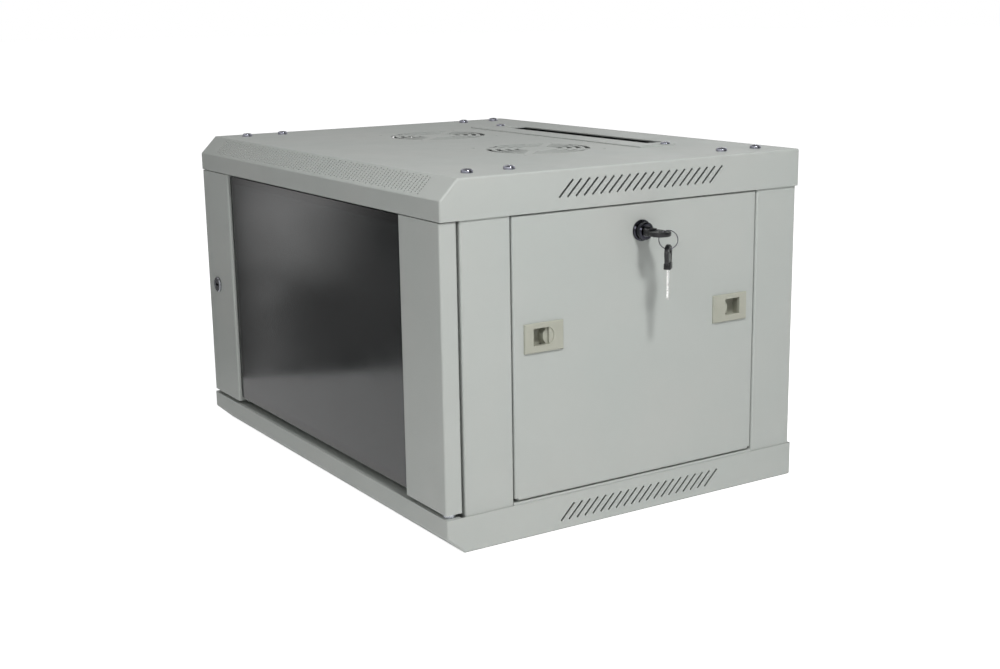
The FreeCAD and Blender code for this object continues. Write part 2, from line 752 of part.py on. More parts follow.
# ---- keys --------------------------------------------------------------------
def key_shape(shoulder):
    """Key along +X, flat side up: moulded bow, shoulder and steel blade towards -X."""
    tip = shoulder + key_shoulder + key_bow_length
    centre = tip - key_bow_radius
    half = key_bow_sheet / 2
    bow = Part.makeCylinder(key_bow_radius, key_bow_sheet, vec(centre, 0, -half))
    neck = box(shoulder + key_shoulder - 2, centre, -0.82 * key_bow_radius, 0.82 * key_bow_radius,
               -half, half)
    neck = neck.makeFillet(3.0, [edge for edge in neck.Edges
                                 if abs(edge.tangentAt(edge.FirstParameter).z) > 0.9
                                 and edge.CenterOfMass.x < centre - 1])
    collar = box(shoulder, shoulder + key_shoulder, -key_shoulder_width / 2, key_shoulder_width / 2,
                 -key_shoulder_height / 2, key_shoulder_height / 2)
    collar = collar.makeChamfer(0.8, collar.Edges)
    bow = fuse([bow, neck, collar])
    hole = Part.makeCylinder(key_hole_radius, 4 * half, vec(tip - key_hole_inset, 0, -2 * half))
    tooth = key_blade_width / 2
    end = shoulder - key_blade_length()
    corners = [(shoulder + 2, -tooth, 0), (shoulder + 2, tooth, 0), (end + 2.4, tooth, 0),
               (end, 0.2 * tooth, 0), (end + 1.4, -tooth, 0)]
    blade = outline_face(corners, in_xy(-key_blade_sheet / 2)).extrude(vec(0, 0, key_blade_sheet))
    return fuse([bow.cut(hole), blade])


def key_shoulder_x():
    """The inserted key's shoulder stands just in front of the lock's nose."""
    return frame_out + lock_bezel + lock_nose + key_stand_off


def key_blade_length():
    return key_shoulder_x() - side_lock_tail() - keyway_floor - key_end_gap


def key_hole_x():
    return key_shoulder_x() + key_shoulder + key_bow_length - key_hole_inset


def ring_centre():
    """The ring hangs on the bar of material between the bow's hole and its tip."""
    drop = ring_radius - ring_wire - key_bow_sheet / 2 - 0.9
    along = key_hole_radius + 2.8
    turn = math.radians(ring_turn)
    return vec(key_hole_x() + along * math.cos(turn), panel_lock_y + along * math.sin(turn),
               lock_z - drop)


def key_ring():
    """Ring of flattened wire, an octagon in section."""
    corners = []
    for step in range(8):
        angle = math.radians(45.0 * step + 22.5)
        corners.append((ring_radius + ring_wire * math.cos(angle), ring_wire * math.sin(angle), 0))
    ring = outline_face(corners, in_xy(0)).revolve(vec(0, 0, 0), vec(0, 1, 0), 360)
    ring.rotate(vec(0, 0, 0), vec(0, 0, 1), ring_turn)
    ring.translate(ring_centre())
    return ring


def spare_key():
    """Second key, hanging from the bottom of the ring with its blade down."""
    body = key_shape(0)
    hole = key_shoulder + key_bow_length - key_hole_inset
    body.translate(vec(-hole, 0, 0))
    body.rotate(vec(0, 0, 0), vec(0, 1, 0), -90)
    body.rotate(vec(0, 0, 0), vec(0, 0, 1), ring_turn)
    low = ring_centre().sub(vec(0, 0, ring_radius))
    body.translate(low.add(vec(0, 0, ring_wire - key_hole_radius + 0.25)))
    return body


# ---- door --------------------------------------------------------------------
def door_stile():
    """Folded stile for the +X side of the door, with end caps that carry the hinge pins."""
    path = [(door_out - stile_lip, door_back), (door_out, door_back), (door_out, front),
            (stile_in, front), (stile_in, ledge_front), (stile_in - glass_ledge, ledge_front)]
    tall = vec(0, 0, door_high - door_low)
    body = outline_face(folded(path, cover_sheet, -1), in_xy(door_low)).extrude(tall)
    inner = stile_in + cover_sheet
    outer = door_out - cover_sheet
    face_in = front + cover_sheet
    back_in = door_back - cover_sheet
    plates = [box(inner, outer, face_in, back_in, z, z + cover_sheet)
              for z in (door_low, door_high - cover_sheet)]
    guide_z = door_high - pin_length + pin_reach + 5.0
    plates.append(box(pin_x - 9, outer, face_in, pin_y + 7, guide_z, guide_z + cover_sheet))
    return fuse([body] + plates)


def door_rail_bar(low_end):
    """Cross rail behind the glass, an angle with its flange at the door's end."""
    reach = stile_in - glass_ledge / 2
    if low_end:
        path = [(door_back, door_low), (ledge_front, door_low), (ledge_front, door_low + door_rail)]
        hand = -1
    else:
        path = [(door_back, door_high), (ledge_front, door_high), (ledge_front, door_high - door_rail)]
        hand = 1
    section = outline_face(folded(path, cover_sheet, hand), in_yz(-reach))
    return section.extrude(vec(2 * reach, 0, 0))


def make_door_frame():
    stile = door_stile()
    body = fuse([stile, mirrored(stile), door_rail_bar(True), door_rail_bar(False)])
    bore = pin_radius + pin_clearance
    tools = [rod(bore, vec(pin_x, pin_y, door_low - 1), vec(pin_x, pin_y, door_high + 1)),
             rod(lock_body_radius + seat_gap, vec(-side + door_lock_inset, front - 1, rack_middle),
                 vec(-side + door_lock_inset, front + 2 * cover_sheet, rack_middle))]
    return body.cut(tools)


def glass_outline(inset, shift):
    left = stile_in - glass_edge_gap - inset
    low = door_low + glass_bottom_gap + inset
    high = door_high - glass_edge_gap - inset
    radius = max(3.0 - inset, 0)
    corners = [(-left, low, radius), (left, low, radius), (left, high, radius), (-left, high, radius)]
    return outline_face(corners, in_xz(shift))


def make_glass():
    return glass_outline(0, front + glass_recess).extrude(vec(0, glass_thickness, 0))


def make_tape():
    start = front + glass_recess + glass_thickness
    outer = glass_outline(0, start).extrude(vec(0, tape_thickness, 0))
    inner = glass_outline(tape_width, start - 1).extrude(vec(0, tape_thickness + 2, 0))
    return outer.cut(inner)


def upper_pin():
    """Spring-loaded upper hinge pin with its collar and finger lever."""
    top = door_high + pin_reach
    bottom = top - pin_length
    shaft = eased_rod(pin_radius, vec(pin_x, pin_y, bottom), vec(pin_x, pin_y, top), 0.8)
    collar_z = top - pin_reach - cover_sheet - 6.0
    collar = rod(pin_radius + 1.8, vec(pin_x, pin_y, collar_z - 2), vec(pin_x, pin_y, collar_z))
    lever_z = collar_z - pin_lever_drop
    lever = rod(pin_lever_radius, vec(pin_x, pin_y, lever_z), vec(pin_x - pin_lever, pin_y, lever_z))
    hook_x = pin_x - pin_lever + pin_lever_radius + small
    hook = rod(pin_hook_radius, vec(hook_x, pin_y, lever_z), vec(hook_x, door_back - 1.0, lever_z))
    return fuse([shaft, collar, lever, hook])


def lower_pin():
    """Fixed lower hinge pin whose collar carries the door on the base's lip."""
    bottom = base_flange - pin_reach
    top = door_low + cover_sheet + 12.0
    shaft = eased_rod(pin_radius, vec(pin_x, pin_y, top), vec(pin_x, pin_y, bottom), 0.8)
    collar = rod(pin_collar_radius, vec(pin_x, pin_y, base_flange + 0.1), vec(pin_x, pin_y, door_low))
    return fuse([shaft, collar])


# ---- 19 inch rails and their supports ----------------------------------------
def rack_low():
    return rack_middle - rack_units * unit_height / 2


def front_rail_y():
    return front + front_rail_setback


def rear_rail_y():
    return rear - rear_rail_setback


def rack_rail(face_y, way):
    """Rail for the +X side; way 1 folds the rail back towards +Y, -1 towards -Y."""
    corner = bay + rail_face
    path = [(bay, face_y), (corner, face_y), (corner, face_y + way * rail_depth),
            (corner - rail_return, face_y + way * rail_depth)]
    low = rack_low() - rail_foot
    tall = rack_units * unit_height + 2 * rail_foot
    body = outline_face(folded(path, rail_sheet, way), in_xy(low)).extrude(vec(0, 0, tall))
    tools = []
    half = rail_hole / 2
    for unit in range(rack_units):
        for rise in unit_holes:
            z = rack_low() + unit * unit_height + rise
            tools.append(box(rack_hole_x - half, rack_hole_x + half,
                             face_y - 2 * rail_sheet, face_y + 2 * rail_sheet, z - half, z + half))
    for z in rail_bolt_heights():
        tools.append(rod(bolt_radius + seat_gap, vec(bay, face_y + way * rail_depth / 2, z),
                         vec(corner + 1, face_y + way * rail_depth / 2, z)))
    return body.cut(tools)


def rail_bolt_heights():
    low = rack_low() + 12.0
    return (low, 2 * rack_middle - low)


def support_ends():
    return post_front + support_end_gap, post_rear - support_end_gap


def lip_face():
    """Side face of the support's lip, just outside the rails' webs."""
    return bay + rail_face + seat_gap


def depth_support(low_end):
    """Depth rail for the +X side: feet on the posts, a shelf, and a slotted lip for the rails."""
    shelf = rack_low() - 7.0
    sign = 1 if low_end else -1

    def level(rise):
        z = shelf + rise
        return z if low_end else 2 * rack_middle - z

    y0, y1 = support_ends()
    path = [(landing_in, level(0)), (lip_face(), level(0)), (lip_face(), level(support_lip))]
    section = outline_face(folded(path, frame_sheet, -sign), in_xz(y0))
    pieces = [section.extrude(vec(0, y1 - y0, 0))]
    foot_path = [(lip_face() + 8.0, level(0)), (landing_in, level(0)), (landing_in, level(support_foot))]
    for start in (front_step + landing / 2 - support_tab / 2, rear_step - landing / 2 - support_tab / 2):
        foot = outline_face(folded(foot_path, frame_sheet, sign), in_xz(start))
        pieces.append(foot.extrude(vec(0, support_tab, 0)))
    half = bolt_radius + seat_gap
    bolt_z = rail_bolt_heights()[0] if low_end else rail_bolt_heights()[1]
    tools = []
    for middle in rail_bolt_rows():
        corners = [(middle - support_slot / 2, bolt_z - half, half),
                   (middle + support_slot / 2, bolt_z - half, half),
                   (middle + support_slot / 2, bolt_z + half, half),
                   (middle - support_slot / 2, bolt_z + half, half)]
        cutter = outline_face(corners, in_yz(lip_face() - 1)).extrude(vec(frame_sheet + 2, 0, 0))
        tools.append(cutter)
    return fuse(pieces).cut(tools)


def rail_bolt_rows():
    return (front_rail_y() + rail_depth / 2, rear_rail_y() - rail_depth / 2)


def rail_bolts():
    """Bolts and square nuts that clamp the rails to the slotted lips."""
    solids = []
    seat = bay + rail_face - rail_sheet
    nut_seat = lip_face() + frame_sheet
    for y in rail_bolt_rows():
        for z in rail_bolt_heights():
            start = vec(seat, y, z)
            screw = rod(bolt_radius, start, vec(nut_seat + nut_height, y, z))
            head = hexagon(nut_radius, vec(seat - rail_bolt_head, y, z), start)
            nut = hexagon(nut_radius, vec(nut_seat, y, z), vec(nut_seat + nut_height - 1, y, z))
            solids.append(fuse([screw, head, nut]))
    return solids + [mirrored(solid) for solid in solids]


# ---- rear panel --------------------------------------------------------------
def rear_screw_x():
    return frame_out - rear_return + rear_overlap / 2


def rear_screw_heights():
    low = roof_low * 0.22
    return (low, (low + roof_low * 0.88) / 2, roof_low * 0.88)


def make_rear_panel():
    """Flat panel held against the rear returns of the posts, with folded top and bottom edges."""
    half = frame_out - rear_return + rear_overlap
    outer = post_rear - frame_sheet
    low = frame_low + frame_sheet + 2 * nut_height + 3.0
    high = frame_high - frame_sheet - nut_height - 3.0
    path = [(outer - rear_fold, low), (outer, low), (outer, high), (outer - rear_fold, high)]
    body = outline_face(folded(path, cover_sheet, 1), in_yz(-half)).extrude(vec(2 * half, 0, 0))
    tools = []
    for x in (-wall_hole_span_x / 2, wall_hole_span_x / 2):
        for z in (rack_middle - wall_hole_span_z / 2, rack_middle + wall_hole_span_z / 2):
            tools.append(rod(wall_hole_radius, vec(x, outer - 5, z), vec(x, outer + 1, z)))
    for x in (-rear_screw_x(), rear_screw_x()):
        for z in rear_screw_heights():
            tools.append(rod(small_screw_radius + seat_gap, vec(x, outer - 5, z), vec(x, outer + 1, z)))
    return body.cut(tools)


def rear_screws():
    solids = []
    for x in (-rear_screw_x(), rear_screw_x()):
        for z in rear_screw_heights():
            solids.append(pan_screw(vec(x, post_rear, z), vec(0, 1, 0), small_screw_radius,
                                    rear_screw_length, small_head_radius, small_head_height))
    return solids


# ---- fasteners of the covers -------------------------------------------------
def roof_bolts():
    return [pan_screw(vec(x, y, height), vec(0, 0, 1), bolt_radius, bolt_length, bolt_head_radius,
                      bolt_head_height) for x, y in bolt_spots()]


def base_studs():
    """Studs welded to the base's floor, under the lower corner plates' nuts."""
    top = frame_low + frame_sheet + 2 * nut_height
    return [rod(bolt_radius, vec(x, y, cover_sheet), vec(x, y, top)) for x, y in bolt_spots()]


def base_nuts():
    low = frame_low + frame_sheet
    solids = []
    for x, y in bolt_spots():
        nut = hexagon(nut_radius, vec(x, y, low), vec(x, y, low + nut_height))
        solids.append(nut.cut(Part.makeCylinder(bolt_radius + 0.05, 3 * nut_height, vec(x, y, low - 1))))
    return solids


def entry_screws(seat):
    """Screws of an entry cover, through the cover and flush with the far side of the sheet."""
    return [pan_screw(vec(x, entry_screw_y, seat), vec(0, 0, 1), entry_screw_radius,
                      2 * cover_sheet, 2.2 * entry_screw_radius, 2.4)
            for x in (-entry_screw_x, entry_screw_x)]


# ---- assembly ----------------------------------------------------------------
def build():
    parts = {"roof": make_roof(), "base": make_base(), "rear_panel": make_rear_panel()}
    front_bar, rear_bar = posts()
    frame_parts = {"post_front": front_bar, "post_rear": rear_bar,
                   "side_rails": Part.makeCompound(side_rails((front_bar, rear_bar))),
                   "corner_plates": Part.makeCompound(corner_plates())}
    for name, shape in frame_parts.items():
        parts[name + "_right"] = shape
        parts[name + "_left"] = mirrored(shape)
    panel = side_panel()
    parts["side_panel_right"] = panel
    parts["side_panel_left"] = mirrored(panel)
    for place, centre, toward in latch_places():
        housing = latch_housing(centre, toward)
        slider = latch_slider(centre, toward)
        parts["latch_housing_right_" + place] = housing
        parts["latch_slider_right_" + place] = slider
        parts["latch_housing_left_" + place] = mirrored(housing)
        parts["latch_slider_left_" + place] = mirrored(slider)

    tail = side_lock_tail()
    mouth = frame_out + lock_bezel + lock_nose
    lock_parts = {
        "lock_body": lock_housing(frame_out, lock_bezel_radius, lock_bezel, lock_nose, tail),
        "lock_nut": hex_nut_x(frame_out - cover_sheet, lock_nut, lock_nut_radius,
                              lock_body_radius + 0.05),
        "lock_plug": lock_plug(mouth, tail),
        "lock_cam": lock_cam(tail, cam_reach)}
    for name, shape in lock_parts.items():
        placed = at_panel(shape)
        parts["side_" + name + "_right"] = placed
        parts["side_" + name + "_left"] = mirrored(placed)

    door_tail = door_lock_tail()
    door_face = -front
    parts["door_frame"] = make_door_frame()
    parts["door_glass"] = make_glass()
    parts["glass_tape"] = make_tape()
    parts["door_lock_body"] = at_door(lock_housing(door_face, door_bezel_radius, door_bezel, 0, door_tail))
    parts["door_lock_nut"] = at_door(hex_nut_x(door_face - cover_sheet, lock_nut, lock_nut_radius,
                                               lock_body_radius + 0.05))
    parts["door_lock_plug"] = at_door(lock_plug(door_face + door_bezel, door_tail))
    cam = lock_cam(door_tail, door_cam_reach)
    cam.rotate(vec(0, 0, 0), vec(1, 0, 0), 90)
    parts["door_lock_cam"] = at_door(cam)
    parts["hinge_pin_upper"] = upper_pin()
    parts["hinge_pin_lower"] = lower_pin()

    parts["key"] = at_panel(key_shape(key_shoulder_x()))
    parts["key_ring"] = key_ring()
    parts["spare_key"] = spare_key()

    for place, face_y, way in (("front", front_rail_y(), 1), ("rear", rear_rail_y(), -1)):
        rail = rack_rail(face_y, way)
        parts["rack_rail_right_" + place] = rail
        parts["rack_rail_left_" + place] = mirrored(rail)
    for place, low_end in (("lower", True), ("upper", False)):
        support = depth_support(low_end)
        parts["depth_support_right_" + place] = support
        parts["depth_support_left_" + place] = mirrored(support)

    parts["roof_entry_cover"] = entry_cover(height)
    parts["base_entry_cover"] = entry_cover(cover_sheet)
    parts["roof_entry_screws"] = Part.makeCompound(entry_screws(height + cover_sheet))
    parts["base_entry_screws"] = Part.makeCompound(entry_screws(2 * cover_sheet))
    parts["roof_bolts"] = Part.makeCompound(roof_bolts())
    parts["base_studs"] = Part.makeCompound(base_studs())
    parts["base_nuts"] = Part.makeCompound(base_nuts())
    parts["rail_bolts"] = Part.makeCompound(rail_bolts())
    parts["rear_screws"] = Part.makeCompound(rear_screws())
    return parts


os.makedirs("parts", exist_ok=True)
for node, shape in build().items():
    bounds = shape.BoundBox
    print(f"{node:26s} solids {len(shape.Solids)} valid {shape.isValid()}"
          f" x {bounds.XMin:.1f}..{bounds.XMax:.1f} y {bounds.YMin:.1f}..{bounds.YMax:.1f}"
          f" z {bounds.ZMin:.1f}..{bounds.ZMax:.1f} vol {shape.Volume / 1000:.1f} cm3")
    shape.exportStep(f"parts/{node}.step")
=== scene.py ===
# %% [markdown]
# # A wall mount network cabinet, dressed for the camera
# The cabinet is folded steel with a fine grey powder coat, a dark glass door, ivory slide
# latches, chrome locks and a pair of keys. Its rigid parts arrive as finished CAD meshes. This
# lesson gives each one its finish and rebuilds the few pieces whose detail is too fine for the
# CAD: the perforated strip, the screw heads and the keys. Lengths are in metres, apart from the
# sizes of the keys and their ring, which are in millimetres until they are put in place.

# %% Load the cabinet
import json
import math

import bmesh
import bpy
from mathutils import Matrix, Vector


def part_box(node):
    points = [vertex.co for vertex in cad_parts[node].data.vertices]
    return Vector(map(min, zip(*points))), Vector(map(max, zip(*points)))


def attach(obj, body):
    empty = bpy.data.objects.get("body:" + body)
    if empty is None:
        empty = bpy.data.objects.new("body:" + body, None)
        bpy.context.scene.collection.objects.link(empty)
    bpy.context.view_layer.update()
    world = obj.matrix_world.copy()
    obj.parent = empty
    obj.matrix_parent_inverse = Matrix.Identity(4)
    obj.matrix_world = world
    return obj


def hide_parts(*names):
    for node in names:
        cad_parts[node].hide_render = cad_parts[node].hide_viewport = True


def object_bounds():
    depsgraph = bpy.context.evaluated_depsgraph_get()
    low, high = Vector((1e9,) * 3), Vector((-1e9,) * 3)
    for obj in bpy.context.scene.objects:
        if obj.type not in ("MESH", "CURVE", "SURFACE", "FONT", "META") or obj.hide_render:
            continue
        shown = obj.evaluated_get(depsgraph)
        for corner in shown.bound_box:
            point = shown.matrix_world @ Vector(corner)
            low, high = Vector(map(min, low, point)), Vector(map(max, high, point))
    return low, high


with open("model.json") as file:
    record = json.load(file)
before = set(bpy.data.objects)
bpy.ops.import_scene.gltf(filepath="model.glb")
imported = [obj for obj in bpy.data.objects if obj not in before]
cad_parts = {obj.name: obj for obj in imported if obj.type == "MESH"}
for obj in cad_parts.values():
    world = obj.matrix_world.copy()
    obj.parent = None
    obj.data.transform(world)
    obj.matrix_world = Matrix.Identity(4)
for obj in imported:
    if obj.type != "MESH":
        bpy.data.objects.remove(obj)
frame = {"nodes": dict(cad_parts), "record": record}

cad_low, cad_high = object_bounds()
MM = 0.001
print("parts loaded:", len(frame["nodes"]), "box:", [round(v, 3) for v in cad_high])

# %% [markdown]
# ## The camera
# The camera looks at the corner between the door and the keyed side panel, from a little above.
# It could be placed by hand with a Track To constraint. Here its place follows from an azimuth,
# an elevation, a distance and a small roll about a target point, so that each number means
# something, and the lens keeps the perspective of a short telephoto.

# %% Place the camera
CAMERA_AZIMUTH = math.radians(57.732)    # from the door's front, round to the keyed side
CAMERA_ELEVATION = math.radians(12.798)
CAMERA_ROLL = math.radians(-0.90)
CAMERA_DISTANCE = 1.6952
CAMERA_TARGET = Vector((0.03974, 0.00306, 0.14419))
LENS_MM = 51.593


def camera_axes(azimuth, elevation, roll):
    """Right, up and backward directions of a camera that looks at its target."""
    back = Vector((math.sin(azimuth) * math.cos(elevation), -math.cos(azimuth) * math.cos(elevation),
                   math.sin(elevation)))
    right = Vector((0, 0, 1)).cross(back).normalized()
    up = back.cross(right)
    turned_right = right * math.cos(roll) + up * math.sin(roll)
    turned_up = up * math.cos(roll) - right * math.sin(roll)
    return turned_right, turned_up, back


right, up, back = camera_axes(CAMERA_AZIMUTH, CAMERA_ELEVATION, CAMERA_ROLL)
camera_data = bpy.data.cameras.new("camera")
camera_data.sensor_fit = "HORIZONTAL"
camera_data.sensor_width = 36.0
camera_data.lens = LENS_MM
camera = bpy.data.objects.new("camera", camera_data)
bpy.context.scene.collection.objects.link(camera)
turn = Matrix((right, up, back)).transposed().to_4x4()
camera.matrix_world = Matrix.Translation(CAMERA_TARGET + back * CAMERA_DISTANCE) @ turn
bpy.context.scene.camera = camera
bpy.context.scene.view_settings.view_transform = "Standard"
print("camera at", [round(v, 3) for v in camera.matrix_world.translation])

# %% [markdown]
# ## Helpers for materials
# Colours are easiest to pick as the hex values of a paint card, but Blender works with linear
# light, so one function turns hex into linear numbers. Node trees are long when they are written
# out socket by socket, so another adds a node with its settings and its links in one line. Every
# finish on the cabinet has a drifting tone and sheen and a bump, so those are written once.

# %% Colour and node helpers
def linear(hex_colour, alpha=1.0):
    """Linear RGBA of an sRGB hex colour."""
    values = [int(hex_colour[i:i + 2], 16) / 255 for i in (1, 3, 5)]
    return tuple(v / 12.92 if v <= 0.04045 else ((v + 0.055) / 1.055) ** 2.4 for v in values) + (alpha,)


def add_node(tree, kind, inputs=None, **settings):
    """Adds a node; settings are its properties, inputs are values or the sockets that feed it."""
    node = tree.nodes.new(kind)
    for name, value in settings.items():
        setattr(node, name, value)
    for name, value in (inputs or {}).items():
        if isinstance(value, bpy.types.NodeSocket):
            tree.links.new(value, node.inputs[name])
        else:
            node.inputs[name].default_value = value
    return node


def new_material(name):
    """An empty material with its tree, an output and Object coordinates."""
    material = bpy.data.materials.new(name)
    material.use_nodes = True
    tree = material.node_tree
    tree.nodes.clear()
    output = add_node(tree, "ShaderNodeOutputMaterial")
    place = add_node(tree, "ShaderNodeTexCoord").outputs["Object"]
    return material, tree, output, place


NOISE_SPAN = {"From Min": 0.22, "From Max": 0.78}     # where nearly all of a noise's values lie


def drifting(tree, place, size, low=0.0, high=1.0, **noise_inputs):
    """Noise of a given size in metres, and the same noise eased into a range of values."""
    noise = add_node(tree, "ShaderNodeTexNoise", {"Vector": place, "Scale": 1 / size, **noise_inputs})
    eased = add_node(tree, "ShaderNodeMapRange", {"Value": noise.outputs["Fac"], **NOISE_SPAN,
                                                  "To Min": low, "To Max": high},
                     interpolation_type="SMOOTHSTEP")
    return noise.outputs["Fac"], eased.outputs["Result"]


def two_tones(tree, place, size, first_tone, second_tone, **noise_inputs):
    """Colour that drifts between two tones."""
    share = drifting(tree, place, size, **noise_inputs)[1]
    return add_node(tree, "ShaderNodeMix", {0: share, 6: linear(first_tone), 7: linear(second_tone)},
                    data_type="RGBA").outputs[2]


def surface(tree, output, colour, rough, height, strength, distance, **shader_inputs):
    """Bumped shader that ends a material."""
    bump = add_node(tree, "ShaderNodeBump", {"Height": height, "Strength": strength,
                                             "Distance": distance})
    shader = add_node(tree, "ShaderNodeBsdfPrincipled", {
        "Base Color": colour, "Roughness": rough, "Normal": bump.outputs["Normal"], **shader_inputs})
    tree.links.new(shader.outputs[0], output.inputs["Surface"])


print("helpers ready; mid grey is", [round(v, 3) for v in linear("#808080")])

# %% [markdown]
# ## Powder-coated steel
# The covers, posts, door and panels are zinc-coated steel with a light grey polyester powder coat.
# The powder melts into a skin with faint orange peel, about 1.6 mm from crest to crest, and it
# gives a satin sheen rather than a gloss. One flat grey would look like plastic, so the colour
# drifts a little over hands' breadths, the sheen varies where hands have wiped it, and a shallow
# bump carries the orange peel and the slow waviness of folded sheet.

# %% Powder coat
def powder_coat():
    """Light grey coat: drifting tone, wiped sheen, orange peel over a slow wave."""
    material, tree, output, place = new_material("powder_coated_steel")
    colour = two_tones(tree, place, 0.12, "#b3b8b4", "#b7bab6", Detail=3.0)
    wiped = drifting(tree, place, 0.045, 0.44, 0.56, Detail=4.0, Roughness=0.6)[1]
    peel = add_node(tree, "ShaderNodeTexNoise", {"Vector": place, "Scale": 1 / 0.0016})
    wave = add_node(tree, "ShaderNodeTexNoise", {"Vector": place, "Scale": 1 / 0.014, "Detail": 1.0})
    height = add_node(tree, "ShaderNodeMath", {0: peel.outputs["Fac"], 1: wave.outputs["Fac"]},
                      operation="ADD")
    surface(tree, output, colour, wiped, height.outputs[0], 0.35, 0.00006, IOR=1.5)
    return material


palette = {"grey_powder_coat": powder_coat()}
print("finish:", palette["grey_powder_coat"].name)

# %% [markdown]
# ## Bright metals
# Screws, rails, nuts and cams are bright zinc plate, which has a faint blue cast and a fine grain
# of drawn wire or rolled sheet. Lock bezels are chrome, almost a mirror, and their cylinders are
# die-cast zinc turned on a lathe. A metal takes its look from what it reflects, so the metals differ
# mostly in roughness, and a little uneven roughness keeps their highlights from looking drawn.

# %% Metals
def bright_metal(name, light_tone, dark_tone, roughness, unevenness, grain, stretch=(1, 1, 1)):
    """A metal whose tone and roughness vary with a grain of the given size, drawn along one axis."""
    material, tree, output, place = new_material(name)
    drawn = add_node(tree, "ShaderNodeMapping", {"Vector": place, "Scale": stretch})
    colour = two_tones(tree, place, 0.02, light_tone, dark_tone)
    fine, rough = drifting(tree, drawn.outputs["Vector"], grain, roughness - unevenness,
                           roughness + unevenness, Detail=3.0, Roughness=0.6)
    surface(tree, output, colour, rough, fine, 0.25, 0.00002, Metallic=1.0)
    return material


# Rolled and drawn along Z, so the grain of the zinc plate is ten times as long that way.
palette["zinc_plated_steel"] = bright_metal("bright_zinc_plate", "#c9ccd2", "#b4b8c0", 0.30, 0.08,
                                            0.0008, (1, 1, 0.1))
# Screw heads are barrel-plated and passivated blue, which gives their blue cast; their darker tone than the
# sheet is painted shade.
palette["screw_zinc"] = bright_metal("blue_zinc_with_painted_shade", "#9b9ca6", "#83848e", 0.20, 0.06, 0.0008)
palette["chrome"] = bright_metal("chrome_plate", "#9a9ca1", "#909297", 0.10, 0.03, 0.004)
# Painted shade: the side locks' bezels get a darker copy of the chrome, as sharp a mirror but giving back
# less light.
palette["dark_chrome"] = bright_metal("dark_chrome_plate", "#3b3b42", "#33333a", 0.10, 0.03, 0.004)
palette["lock_cylinder"] = bright_metal("turned_zinc_alloy", "#77787c", "#66676b", 0.28, 0.08, 0.0004,
                                        (1, 8, 8))
palette["key_blade"] = bright_metal("nickel_plated_steel", "#f1f1ef", "#e8e8e6", 0.26, 0.06, 0.0006,
                                    (0.15, 1, 1))
palette["ring_wire"] = bright_metal("spring_steel_wire", "#6c6c70", "#5c5c60", 0.22, 0.06, 0.0006)
print("finishes so far:", len(palette))

# %% [markdown]
# ## Moulded plastics and rubber
# The slide latches are ivory ABS from a lightly spark-eroded mould, so they have a fine matt skin.
# The keys' bows are black nylon with a soft shine, and the glass is bonded with black foam tape.
# Plastic shows its mould more than its colour: each gets a small bump at the mould's real grain.

# %% Plastics
PLASTIC_UNEVENNESS = 0.06


def moulded_plastic(name, light_tone, dark_tone, roughness, grain, bump_depth):
    """A moulded plastic with the fine skin that its tool leaves."""
    material, tree, output, place = new_material(name)
    colour = two_tones(tree, place, 0.02, light_tone, dark_tone, Detail=3.0)
    skin_noise, rough = drifting(tree, place, grain, roughness - PLASTIC_UNEVENNESS,
                                 roughness + PLASTIC_UNEVENNESS, Detail=3.0, Roughness=0.7)
    surface(tree, output, colour, rough, skin_noise, 0.4, bump_depth, IOR=1.5)
    return material


palette["ivory_plastic"] = moulded_plastic("ivory_abs", "#adaea1", "#a8a99c", 0.42, 0.0006, 0.00003)
palette["key_plastic"] = moulded_plastic("black_nylon", "#0e0e10", "#141417", 0.30, 0.0005, 0.00002)
palette["black_tape"] = moulded_plastic("black_foam_tape", "#121213", "#191919", 0.75, 0.0007, 0.00005)
print("plastics:", ", ".join(palette[slot].name for slot in ("ivory_plastic", "key_plastic", "black_tape")))

# %% [markdown]
# ## Smoked glass
# The door's pane is 4 mm tempered float glass, tinted dark so that the equipment behind it only
# glimmers. Its tint belongs in the body of the glass: light that crosses it loses most of its
# strength, while the reflection on its face stays clear. A film of dust and wiped smears makes that
# reflection soft and uneven, which roughness from a large, slow noise gives.

# %% Glass
def smoked_glass():
    """Dark clear glass whose face is softened by a film of dust."""
    material, tree, output, place = new_material("smoked_tempered_glass")
    smear = {"Detail": 3.0, "Roughness": 0.55}
    colour = two_tones(tree, place, 0.11, "#414748", "#3c4142", **smear)
    rough = drifting(tree, place, 0.11, 0.10, 0.17, **smear)[1]
    dust = add_node(tree, "ShaderNodeTexNoise", {"Vector": place, "Scale": 1 / 0.0015})
    surface(tree, output, colour, rough, dust.outputs["Fac"], 0.08, 0.00001,
            **{"Transmission Weight": 1.0, "IOR": 1.52})
    return material


palette["tinted_glass"] = smoked_glass()
print("finishes:", ", ".join(sorted(m.name for m in palette.values())))

# %% [markdown]
# ## Dress the CAD parts
# Each part names the finish it is made in. A loop looks that name up and puts the material into
# every slot of the part's object. The meshes themselves aren't touched.

# %% Put each finish on its parts
def dress(thing, material):
    """Gives an object one material."""
    if not thing.material_slots:
        thing.data.materials.append(material)
    for slot in thing.material_slots:
        slot.material = material


for part in frame["record"]["subparts"]:
    dress(frame["nodes"][part["node"]], palette[part["material_slot"]])
# Painted shade: the side locks' bodies take the darkened copy of the chrome.
for side in ("left", "right"):
    dress(frame["nodes"]["side_lock_body_" + side], palette["dark_chrome"])

# %% [markdown]
# ## The perforated strip
# The roof's sloped front edge is punched with hundreds of small holes that let warm air out. They
# could be painted on, drawn with a bump, or cut with booleans. Real holes look right from every
# side, and booleans by the hundred are slow and fragile, so the strip is tiled: one small cell of
# sheet with a hole in it is repeated by Geometry Nodes in staggered rows, and the plain sheet
# under the strip is taken out of a copy of the roof's mesh.

